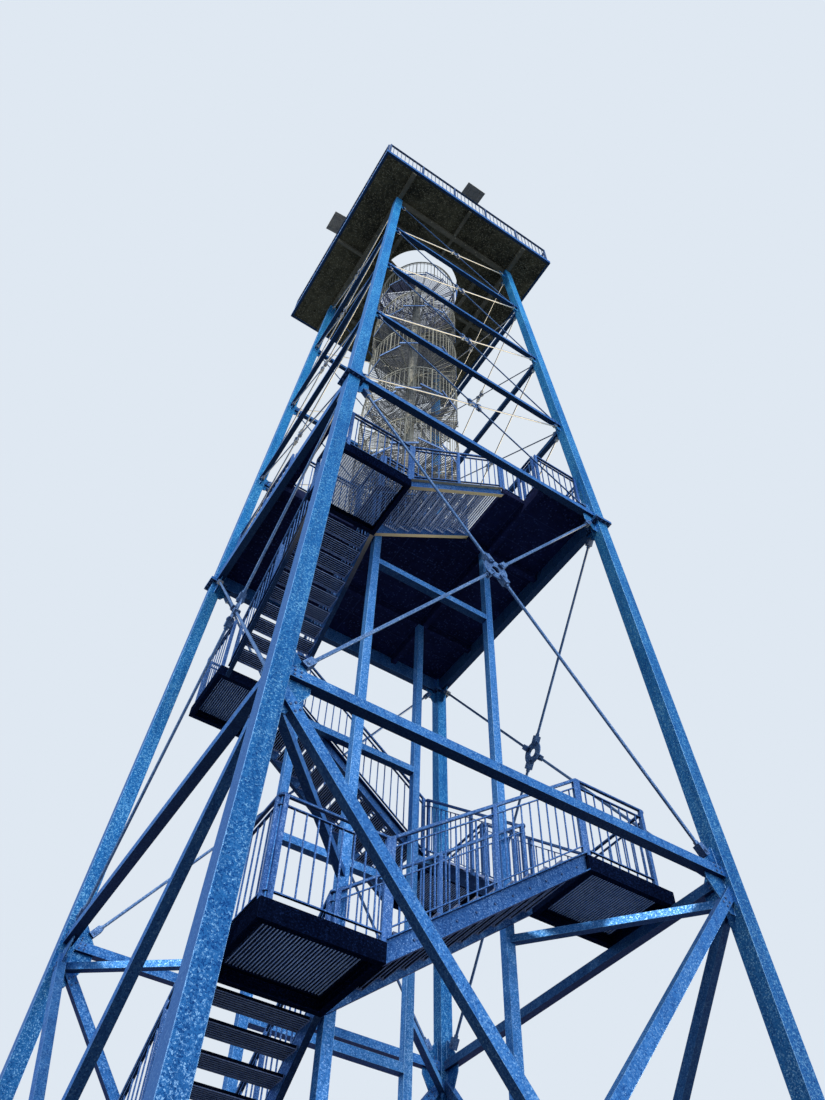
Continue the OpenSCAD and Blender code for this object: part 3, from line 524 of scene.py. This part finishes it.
def tread_gratings(k):
    """Grating treads of one flight: bearing bars across the lane, their lower edges a shape of their own
    because only those catch the light, shallow cross bars, a nosing plate in front and a plate at each end.
    Real cross bars stand 35 mm apart. Here they stand every 15 mm (21 mm on the open top flight), so that the
    gaps stay as dark as shade makes them."""
    p0, along, left, n, run, rise = flight(k)
    axes = np.stack([along, left, UP])
    y0, y1 = CH_W + SEAT, LANE_W - CH_W - SEAT
    cy, hy = (y0 + y1) / 2, (y1 - y0) / 2
    i = np.arange(1, n)
    centre = p0 + np.outer(run * i / n, along) + np.outer(rise * i / n, UP) + left * cy
    bars = centre[:, None] + np.linspace(-TREAD_D / 2 + 0.040, TREAD_D / 2 - 0.004, 7)[None, :, None] * along
    n_rods = 46 if k == FLIGHTS - 1 else 64
    rods = centre[:, None] + np.linspace(-hy + 0.020, hy - 0.020, n_rods)[None, :, None] * left
    nosing = centre - along * (TREAD_D / 2 - 0.016) - UP * 0.004
    riser_lip = centre - along * (TREAD_D / 2 - 0.003) - UP * 0.020
    light = [boxes((bars - UP * EDGE_DROP).reshape(-1, 3), [0.0030, hy - 0.006, 0.0045], axes),
             boxes(nosing, [0.0155, hy - 0.006, 0.004], axes),
             boxes(riser_lip, [0.003, hy - 0.006, 0.019], axes)]
    for s in (-1, 1):
        end_plate = centre + left * s * (hy - 0.003) - UP * 0.020
        light.append(boxes(end_plate, [TREAD_D / 2, 0.003, 0.020], axes))
    shade = [boxes((bars - UP * 0.0155).reshape(-1, 3), [0.0022, hy - 0.006, 0.0145], axes),
             boxes((rods - UP * 0.010).reshape(-1, 3), [TREAD_D / 2 - 0.014, 0.0009, 0.0080], axes)]
    return join(light), join(shade)


for n, pair in enumerate(((0, 1), (2, 3), (4, 5), (6, 7)), 1):
    made = [tread_gratings(k) for k in pair]
    if pair[1] == FLIGHTS - 1:
        # the last flight rises in the open, so it has finishes of its own, painted lighter than the covered
        # flights
        head = made.pop()
        piece("tread_bars_head", head[0], HEAD_ZINC)
        piece("tread_mesh_head", head[1], MESH_ZINC)
    bars = piece("tread_bars_%d" % n, join([m[0] for m in made]), TREAD_ZINC)
    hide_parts("treads_%d" % n)
    piece("tread_mesh_%d" % n, join([m[1] for m in made]), TREAD_DARK)


def landing_box(k):
    """Lower corner, length and width of landing k."""
    ext = 0.140 if k == 3 else 0.0 if k % 4 == 0 else 0.100
    x, y = LAND_CORNER[k % 4]
    return np.array([x - (ext if k % 4 in (1, 2) else 0.0), y]), LANE_W + ext, LANE_W


def landing(k):
    """A frame of channels with their flanges inwards, the lower edges of bearing bars along y, and in the
    shade above them the rest of those bars and shallow cross bars. Real cross bars stand 35 mm apart. Here
    they stand every 11 mm (18 mm on the open top landing), so that the gaps stay as dark as shade makes
    them."""
    (x, y), w, d = landing_box(k)
    z1, z0 = Z_LAND[k], Z_LAND[k] - FRAME_D
    zc, hz, t = (z0 + z1) / 2, FRAME_D / 2, CH_T / 2
    xc, yc = x + w / 2, y + d / 2
    frame_parts = [boxes([[cx, yc, zc] for cx in (x + t, x + w - t)], [t, d / 2, hz]),
                   boxes([[xc, cy, zc] for cy in (y + t, y + d - t)], [w / 2 - CH_T - 0.0002, t, hz])]
    for z in (z0 + t, z1 - 0.046):
        flange_x = [[cx, yc, z] for cx in (x + CH_W / 2 + t, x + w - CH_W / 2 - t)]
        flange_y = [[xc, cy, z] for cy in (y + CH_W / 2 + t, y + d - CH_W / 2 - t)]
        frame_parts.append(boxes(flange_x, [CH_W / 2 - t, d / 2 - CH_T - 0.0002, t]))
        frame_parts.append(boxes(flange_y, [w / 2 - CH_W - 0.0002, CH_W / 2 - t, t]))
    n = int(round((w - 2 * CH_T) / BAR_PITCH))
    xs = np.linspace(x + CH_T + 0.004, x + w - CH_T - 0.004, n)
    bar = np.stack([xs, np.full(n, yc), np.full(n, z1)], 1)
    edges = boxes(bar - UP * EDGE_DROP, [0.0030, d / 2 - CH_T - 0.001, 0.0055])
    upper = boxes(bar - UP * 0.0150, [0.0024, d / 2 - CH_T - 0.001, 0.0138])
    rod_pitch = 0.018 if k == LANDINGS - 1 else 0.011
    m = int(round((d - 2 * CH_T) / rod_pitch))
    ys = np.linspace(y + CH_T + 0.012, y + d - CH_T - 0.012, m)
    rod = np.stack([np.full(m, xc), ys, np.full(m, z1 - 0.0100)], 1)
    cross = boxes(rod, [w / 2 - CH_T - 0.001, 0.0009, 0.0080])
    return join(frame_parts), edges, join([upper, cross])


made = [landing(k) for k in range(LANDINGS)]
frames = piece("landing_frames", join([m[0] for m in made]), FRAME_ZINC)
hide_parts("landings")
piece("landing_grating_bars", join([m[1] for m in made]), BAR_ZINC)
piece("landing_grating_mesh", join([m[2] for m in made]), MESH_ZINC)


def stringer_bolts(k):
    """Two bolt heads for each tread end, on the outer face of each stringer's web."""
    p0, along, left, n, run, rise = flight(k)
    i = np.arange(1, n)
    at = p0 + np.outer(run * i / n, along) + np.outer(rise * i / n, UP) - UP * 0.020
    out = []
    for dx in (-0.080, 0.080):
        for y, s in ((CH_W - CH_T, -1), (LANE_W - CH_W + CH_T, 1)):
            p = at + along * dx + left * y
            out.append(prisms(p, p + left * s * 0.009, 0.013, 6))
    return join(out)


def rail_elbows(k):
    """Rounded corners of the handrail and its two thinner rails at landing k: quarter circles at the outer
    corner, and at the inner corner where one flight's rail turns into the next."""
    c = k % 4
    longer = landing_box(k)[1] - LANE_W
    x = IX1 + LANE_W - CH_W / 2 if c in (0, 3) else IX0 - LANE_W - longer + CH_W / 2
    y = IY1 + LANE_W - CH_W / 2 if c < 2 else IY0 - LANE_W + CH_W / 2
    dx, dy = (-1 if c in (0, 3) else 1), (-1 if c < 2 else 1)
    bend, stub = 0.035, 0.008
    a = np.linspace(0, np.pi / 2, 7)
    out = []
    for z, r in ((RAIL_H - 0.022, 0.022), (RAIL_H - 0.130, 0.012), (0.090, 0.012)):
        arc = np.stack([x + dx * bend * (1 - np.sin(a)), y + dy * bend * (1 - np.cos(a)),
                        np.full(7, Z_LAND[k] + z)], 1)
        ends = np.array([[dx * stub, 0, 0], [0, dy * stub, 0]])
        out.append(sweep(np.concatenate([[arc[0] + ends[0]], arc, [arc[-1] + ends[1]]]), r))
        above_foot_rail = z > 0.5
        if above_foot_rail:
            p, along, left, n, run, rise = flight(k)
            q, along2, left2 = flight(k + 1)[:3]
            start = p + along * run + left * (LANE_W - CH_W / 2) + UP * (rise + z)
            end = q + left2 * (LANE_W - CH_W / 2) + UP * z
            centre = start + left * CH_W / 2
            turn = centre + np.outer(np.sin(a), along) * CH_W / 2 - np.outer(np.cos(a), left) * CH_W / 2
            turn[:, 2] = np.linspace(start[2], end[2], 7)
            out.append(sweep(np.concatenate([[start - along * stub], turn]), r))
    return join(out)


def rail_sleeves(k):
    """Short bends that carry flight k's outer handrail on to the level rails of the landings."""
    p, along, left, n, run, rise = flight(k)
    side = left * CH_W / 2 + UP * (RAIL_H - 0.022)
    slope = rise / run
    reach, r = 0.03, 0.0235
    out = []
    if k < FLIGHTS - 1:
        at = p + along * run + UP * rise + side
        out.append(sweep([at - along * reach - UP * reach * slope, at, at + along * reach], r))
    if k > 0:
        at = p + side
        out.append(sweep([at - along * reach, at, at + along * reach + UP * reach * slope], r))
    return join(out)


piece("stringer_bolts", join([stringer_bolts(k) for k in range(FLIGHTS)]), BOLT_ZINC)
bends = [rail_elbows(k) for k in range(LANDINGS)] + [rail_sleeves(k) for k in range(FLIGHTS)]
piece("handrail_elbows", join(bends), RAIL_ZINC, smooth=True)


# Spiral stair
def helix(t, radius, h=0.0):
    """Points on the spiral above step position t: a circle that rises evenly with the turn."""
    t = np.asarray(t, float)
    a = START + t * 2 * np.pi / STEPS_TURN
    return np.stack([radius * np.cos(a), radius * np.sin(a), DECK_Z + t * SPIRAL_RISE + h], -1)


def radial(a):
    """Unit vectors outwards, along the turn and upwards at angle a."""
    d = np.stack([np.cos(a), np.sin(a), 0 * a], 1)
    return np.stack([d, np.stack([-d[:, 1], d[:, 0], 0 * a], 1), np.stack([0 * a, 0 * a, 1 + 0 * a], 1)], 1)


def spiral_treads(i0, i1):
    """Wedge treads: two radial edge bars, a middle bar, and a grating whose bars cross the wedge,
    each as long as the wedge is wide there (twice the radius times the tangent of half the step's angle)."""
    i = np.arange(i0, i1 + 1)
    a = START + i * 2 * np.pi / STEPS_TURN
    half = np.pi / STEPS_TURN + 0.012
    base = helix(i, 0.0)
    r0, r1 = COLUMN_R + 0.002, SPIRAL_R - 0.026
    edges, mesh = [], []
    for s in (-1, 0, 1):
        ax = radial(a + s * (half - 0.003))
        reach = r1 if s else r1 * math.cos(half)
        middle = base + ax[:, 0] * (r0 + reach) / 2 - UP * 0.020
        edges.append(boxes(middle, [(reach - r0) / 2, 0.0050 if s else 0.0025, 0.0195], ax))
    ax = radial(a)
    top = r1 * math.cos(half) - 0.006
    for r in np.arange(0.190, top, BAR_PITCH):
        middle = base + ax[:, 0] * r - UP * 0.0165
        mesh.append(boxes(middle, [0.0018, r * math.tan(half - 0.006), 0.0150], ax))
    foot = 0.42
    for s in (-0.8, -0.6, -0.4, -0.2, 0.2, 0.4, 0.6, 0.8):
        bx = radial(a + s * half)
        middle = base + bx[:, 0] * (foot + top) / 2 - UP * 0.0165
        mesh.append(boxes(middle, [(top - foot) / 2, 0.0013, 0.0140], bx))
    return join(edges), join(mesh)


def spiral_rims(i0, i1):
    """A rim plate along each wedge tread's outer edge, square to its middle line: the chord of the step, as
    long as twice the radius times the tangent of half its angle. It stands up 24 mm as a toe plate."""
    i = np.arange(i0, i1 + 1)
    ax = radial(START + i * 2 * np.pi / STEPS_TURN)
    half = np.pi / STEPS_TURN + 0.010
    r = (SPIRAL_R - 0.026) * math.cos(half)
    return boxes(helix(i, 0.0) + ax[:, 0] * r - UP * 0.008, [0.003, r * math.tan(half), 0.032], ax)


def spiral_rail(i0, i1):
    """Upright bars five to a step under a round handrail, a flat rail below it and a foot rail, all on one
    helix, with a thicker post on each tread."""
    r = SPIRAL_R - 0.060
    t = np.arange(i0 - 0.4, i1 + 0.45, 0.2)
    foot, head = helix(t, r), helix(t, r, 1.0)
    foot[:, 2] = DECK_Z + np.clip(np.round(t), i0, i1) * SPIRAL_RISE
    post = np.arange(i0, i1 + 0.1)
    along = np.linspace(i0 - 0.48, i1 + 0.48, (i1 - i0 + 1) * 4)
    rails = [sweep(helix(along, r, h), radius, 8)
             for h, radius in ((1.0, 0.019), (0.88, 0.008), (0.12, 0.008))]
    return join([prisms(foot, head, 0.007, 6), prisms(helix(post, r), helix(post, r, 1.0), 0.014, 8)] + rails)


# from this step up the treads lie in the shade of the top deck and have finishes of their own
HEAD_STEP = 59
for n, (i0, i1) in enumerate(((1, 36), (37, N_SPIRAL - 1)), 1):
    edges, mesh = spiral_treads(i0, min(i1, HEAD_STEP - 1))
    if i1 >= HEAD_STEP:
        head = spiral_treads(HEAD_STEP, i1)
        piece("spiral_tread_edges_head", head[0], SPIRAL_DARK)
        piece("spiral_tread_mesh_head", head[1], HEAD_MESH)
    treads = piece("spiral_tread_edges_%d" % n, edges, SPIRAL_ZINC)
    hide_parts("spiral_treads_%d" % n)
    piece("spiral_tread_mesh_%d" % n, mesh, SPIRAL_MESH)
    piece("spiral_tread_rims_%d" % n, spiral_rims(i0, i1), RIM_ZINC)
    rail = piece("spiral_rail_bars_%d" % n, spiral_rail(i0, i1), SPIRAL_ZINC)
    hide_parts("spiral_rail_%d" % n)

# a band round the column at every half turn
half_turns = helix(np.arange(STEPS_TURN / 2, N_SPIRAL, STEPS_TURN / 2), 0.0)
bands = rings(half_turns, UP, COLUMN_R - 0.002, COLUMN_R + 0.012, 0.050, 48)
piece("spiral_column_bands", bands, SPIRAL_ZINC)


# Ties, gussets, collars and feet
def on_side(i, x, y, s):
    """A point of a side's own drawing (along, through, up the slope) in the tower's frame: the side is leaned
    in about its foot line, moved out by half the base, then turned by i quarters."""
    x, y, s = np.broadcast_arrays(np.asarray(x, float), y, s)
    c, n = math.cos(LEAN), math.sin(LEAN)
    v = np.stack([x, y * c + s * n - HALF0, s * c - y * n], -1).reshape(-1, 3)
    return turned((v, []), i)[0]


def through(i, x, s, y0, y1, radius, sides):
    """Bars through side i at the points x along and s up its slope, from y0 to y1."""
    return prisms(on_side(i, x, y0, s), on_side(i, x, y1, s), radius, sides)


def tie_fittings(i):
    """Pins with a nut on each side through every fork of side i, and a lock nut where each rod leaves its
    fork. The four rods of a bay meet where its diagonals cross, and v is the unit vector along each of them."""
    out = []
    for z0, z1, in0, in1, d, plate_d, fork in TIES:
        h0, h1 = half_at(z0) - in0[0], half_at(z1) - in1[0]
        s0, s1 = slope_at(z0) + in0[1], slope_at(z1) - in1[1]
        e = np.array([[-h0, s0], [h0, s0], [-h1, s1], [h1, s1]])
        c = np.array([0.0, s0 + (s1 - s0) * h0 / (h0 + h1)])
        v = (e - c) / np.linalg.norm(e - c, axis=1, keepdims=True)
        pin, nut = 1.10 * d + 0.012, 1.10 * d + 0.006
        for at in (e - v * 0.35 * fork, c + v * (plate_d / 2 - 0.2 * fork)):
            out.append(through(i, at[:, 0], at[:, 1], -pin, pin, 0.42 * d, 10))
            out.append(through(i, at[:, 0], at[:, 1], -nut, nut, 0.66 * d, 6))
        outer, inner = e - v * fork, c + v * (plate_d / 2 + 0.55 * fork)
        for p, q in ((outer, outer - v * 0.9 * d), (inner, inner + v * 0.9 * d)):
            near, far = on_side(i, p[:, 0], 0.0, p[:, 1]), on_side(i, q[:, 0], 0.0, q[:, 1])
            out.append(prisms(near, far, 0.80 * d, 6))
    return join(out)


def beam_bolts(i):
    """Bolts through the ends of side i's ring beams into their gussets, in two rows of two, and of its
    braces, in two rows along v, the unit vector from a brace's top to its foot."""
    out = []
    for z, w, drop in [(LEVEL[0], BEAM_W, 0.080)] + [(z, UPPER_BEAM_W, 0.0) for z in LEVEL[2:]]:
        h, s = half_at(z), slope_at(z) + drop
        x = np.array([sx * (h - LEG_W / 2 - gx) for sx in (-1, 1) for gx in (0.055, 0.120) for _ in (0, 1)])
        y = np.array([s + sy for _ in range(4) for sy in (-0.028, 0.028)])
        for side in (-1, 1):
            out.append(through(i, x, y, side * w / 2, side * (w / 2 + 0.009), 0.012, 6))
    top = np.array([-half_at(LEVEL[0]), slope_at(LEVEL[0]) - 0.070])
    foot = np.array([half_at(0.150), slope_at(0.150)])
    v = (foot - top) / np.linalg.norm(foot - top)
    n = np.array([-v[1], v[0]])
    at = np.array([p + v * s * g + n * r for p, s in ((top, 1), (foot, -1)) for g in (0.300, 0.380)
                   for r in (-0.030, 0.030)])
    for m in (-1, 1):
        for side in (-1, 1):
            out.append(through(i, m * at[:, 0], at[:, 1], side * 0.050, side * 0.059, 0.013, 6))
    return join(out)


def gusset_bolts(i):
    """Two small bolts on each first-level gusset of side i, between the tie's pin and the beam."""
    h, s = half_at(LEVEL[0]), slope_at(LEVEL[0])
    x = np.array([sx * (h - 0.168) for sx in (-1, 1) for _ in (0, 1)])
    return through(i, x, np.array([s + 0.175, s + 0.205] * 2), -0.018, 0.018, 0.010, 6)


def leg_axes():
    """The front left leg's own axes, across, through and along it (rows), and its length for each metre of
    height, the root of one and twice the batter squared, because it leans in by the batter both ways."""
    n = math.sqrt(1 + 2 * BATTER ** 2)
    one_way = math.sqrt(1 + BATTER ** 2)
    sa, ca, sb, cb = BATTER / n, one_way / n, BATTER / one_way, 1 / one_way
    return np.array([[cb, 0, -sb], [-sa * sb, ca, -sa * cb], [ca * sb, sa, ca * cb]]), n


def splice_point():
    """The front left leg's axes, and the point of its middle line where its two lengths meet."""
    axes, n = leg_axes()
    return axes, np.array([-HALF0, -HALF0, 0]) + axes[2] * (LEVEL[1] * n)


def collar_bolts():
    """Twelve bolts round a leg's splice flanges, along the leg, with a nut above and a head below."""
    axes, middle = splice_point()
    q = 0.133
    spots = [(x, y) for x in (-q, -q / 3, q / 3, q) for y in (-q, q)]
    spots += [(x, y) for x in (-q, q) for y in (-q / 3, q / 3)]
    p = np.array([middle + axes[0] * x + axes[1] * y for x, y in spots])
    nuts = prisms(p - axes[2] * 0.076, p + axes[2] * 0.016, 0.019, 6)
    return join([nuts, prisms(p - axes[2] * 0.080, p + axes[2] * 0.030, 0.011, 8)])


def splice_flanges():
    """The two flanges of a leg's splice: square plates on the leg's own axis, with the joint line between."""
    axes, middle = splice_point()
    return boxes([middle - axes[2] * 0.0140, middle - axes[2] * 0.0460], [0.1665, 0.1665, 0.0150], axes)


def foot_bolts():
    """Anchor bolts of a foot plate, with a washer and nut on each."""
    p = np.array([[-HALF0 + x * 0.170, -HALF0 + y * 0.170, 0.030] for x in (-1, 1) for y in (-1, 1)])
    return join([prisms(p, p + UP * 0.004, 0.026, 16), prisms(p + UP * 0.004, p + UP * 0.023, 0.020, 6),
                 prisms(p - UP * 0.028, p + UP * 0.050, 0.012, 10)])


def core_bolts():
    """Four bolts with nuts on the foot plate of each stair post."""
    p = np.array([[cx + x * 0.090, cy + y * 0.090, 0.020]
                  for cx, cy in CORE for x in (-1, 1) for y in (-1, 1)])
    return join([prisms(p, p + UP * 0.014, 0.015, 6), prisms(p, p + UP * 0.030, 0.008, 8)])


SIDES = range(4)
piece("tie_pins_and_nuts", join([tie_fittings(i) for i in SIDES]), ROD_ZINC)
piece("beam_bolts", join([f(i) for i in SIDES for f in (beam_bolts, gusset_bolts)]), BOLT_ZINC)
piece("collar_bolts", join([turned(collar_bolts(), i) for i in SIDES]), BOLT_ZINC)
piece("splice_flanges", join([turned(splice_flanges(), i) for i in SIDES]), BEAM_ZINC)
piece("foot_bolts", join([turned(foot_bolts(), i) for i in SIDES] + [core_bolts()]), BOLT_ZINC)


# Decks
def deck_strips():
    """Cover strips under the sheet joints of the lower deck, along x, kept clear of the stairway."""
    z = DECK_Z - DECK_T - 0.003
    rows = [(y, -2.30, 2.30) for y in (0.31, 0.93, 1.86, 2.17)]
    rows += [(-0.31, -0.90, 2.30), (-1.55, 1.42, 2.30), (-2.17, 1.42, 2.25)]
    halves = np.array([[(b - a) / 2, 0.025, 0.003] for y, a, b in rows])
    return boxes([[(a + b) / 2, y, z] for y, a, b in rows], halves)


def top_strips():
    """Cover strips under the top deck's sheet joints, between its beams and clear of the stair opening."""
    z = TOP_Z - TOP_T - 0.003
    spots = [(s * 2.31, 0.0, 0.025, 2.70) for s in (-1, 1)]
    spots += [(0.0, s * 2.31, 2.70, 0.025) for s in (-1, 1)]
    spots += [(s * 1.62, 0.0, 0.025, 1.75) for s in (-1, 1)]
    return boxes([[x, y, z] for x, y, a, b in spots], np.array([[a, b, 0.003] for x, y, a, b in spots]))


piece("lower_deck_strips", deck_strips(), DECK_DARK)
piece("top_deck_strips", top_strips(), TOP_DARK)

# Finishes of the carried-over nodes, by the start of their names
FINISH = {
    "leg_": LEG_ZINC, "first_ring": BEAM_ZINC, "upper_ring": BEAM_ZINC, "deck_ring": BEAM_ZINC,
    "brace_": BEAM_ZINC, "ties_": ROD_ZINC, "stair_core": CORE_ZINC, "core_": CORE_ZINC,
    "landings": FRAME_ZINC, "flight_stringers": STRING_ZINC, "treads_": BAR_ZINC, "stair_rails": RAIL_ZINC,
    "lower_deck": DECK_DARK, "deck_joists": DECK_DARK, "deck_rails": RAIL_ZINC, "spiral": SPIRAL_ZINC,
    "top_deck_edge": BEAM_ZINC, "top_deck_beams": TOP_BEAM, "top_deck": TOP_DARK, "top_rail": TOP_RAIL,
    "stair_head_rail": RAIL_ZINC, "view_boards": BOARD,
}
for name, obj in nodes.items():
    key = next(k for k in FINISH if name.startswith(k))
    obj.data.materials.clear()
    obj.data.materials.append(FINISH[key])

# Stage
scene = bpy.context.scene
scene.view_settings.view_transform = "Standard"

# matt floor paint: pale to the eye, while the light that it throws back up is that of a grey floor
floor_mat, tree, paint = start_material("pale_floor_paint")
paint.inputs["Roughness"].default_value = 0.9
ray = add(tree, "ShaderNodeLightPath")
bounce = add(tree, "ShaderNodeMix", {"data_type": "RGBA", 6: linear("#dfe3e8"), 7: linear("#7a828c")},
             i0=ray.outputs["Is Diffuse Ray"])
tree.links.new(bounce.outputs[2], paint.inputs["Base Color"])

# a disc of 60 m radius
FLOOR_R, FLOOR_SIDES = 60, 96
a = np.arange(FLOOR_SIDES) * 2 * np.pi / FLOOR_SIDES
floor = bpy.data.meshes.new("floor")
disc = np.stack([FLOOR_R * np.cos(a), FLOOR_R * np.sin(a), 0 * a], 1).tolist()
floor.from_pydata(disc, [], [list(range(FLOOR_SIDES))])
floor.materials.append(floor_mat)
floor_obj = bpy.data.objects.new("floor", floor)
bpy.context.collection.objects.link(floor_obj)

# pale surroundings: one tone lights the object, and a paler one is what the eye and mirrors see
world = bpy.data.worlds.new("pale_surround")
scene.world = world
world.use_nodes = True
air = world.node_tree
lit = air.nodes["Background"]
lit.inputs["Color"].default_value = linear("#c8d8ee")
lit.inputs["Strength"].default_value = 0.62
seen = add(air, "ShaderNodeBackground", {"Color": linear("#dfe8f2"), "Strength": 1.0})
ray = add(air, "ShaderNodeLightPath")
straight = add(air, "ShaderNodeMath", {"operation": "MAXIMUM"},
               i0=ray.outputs["Is Camera Ray"], i1=ray.outputs["Is Transmission Ray"])
either = add(air, "ShaderNodeMath", {"operation": "MAXIMUM"},
             i0=straight.outputs[0], i1=ray.outputs["Is Glossy Ray"])
mixer = add(air, "ShaderNodeMixShader", i0=either.outputs[0], i1=lit.outputs[0], i2=seen.outputs[0])
air.links.new(mixer.outputs[0], air.nodes["World Output"].inputs["Surface"])


def sun(name, direction, strength, colour, size):
    """A soft sun of that size in degrees, shining along the direction."""
    data = bpy.data.lights.new(name, "SUN")
    data.energy = strength
    data.angle = math.radians(size)
    data.color = linear(colour)[:3]
    obj = bpy.data.objects.new(name, data)
    obj.rotation_mode = "QUATERNION"
    obj.rotation_quaternion = Vector(direction).to_track_quat("-Z", "Y")
    bpy.context.collection.objects.link(obj)


sun("key_sun", (0.62, 0.46, -0.64), 2.4, "#fff8ee", 8)
sun("fill_sun", (-0.20, 0.90, -0.30), 0.8, "#e4ecff", 40)
sun("low_sun", (-0.95, 0.15, -0.12), 1.4, "#fff2de", 6)

# Camera at the photograph's place and angle. Its focal length was solved in pixels of the 1100 pixel height.
FOCAL_PX, PHOTO_H, SENSOR_H = 890.1, 1100.0, 36.0
EYE = (-4.684, -8.310, 1.405)
RIGHT, UPWARD = (0.84062, -0.54096, 0.02697), (-0.45147, -0.67230, 0.58668)
AHEAD = (0.29923, 0.50535, 0.80937)
camera = bpy.data.cameras.new("camera")
camera.sensor_fit = "VERTICAL"
camera.sensor_height = SENSOR_H
camera.sensor_width = 27.0
camera.lens = FOCAL_PX * SENSOR_H / PHOTO_H
camera.clip_start, camera.clip_end = 0.05, 300.0
cam = bpy.data.objects.new("camera", camera)
cam.matrix_world = Matrix([(r, u, -f, e) for r, u, f, e in zip(RIGHT, UPWARD, AHEAD, EYE)] + [(0, 0, 0, 1)])
bpy.context.collection.objects.link(cam)
scene.camera = cam
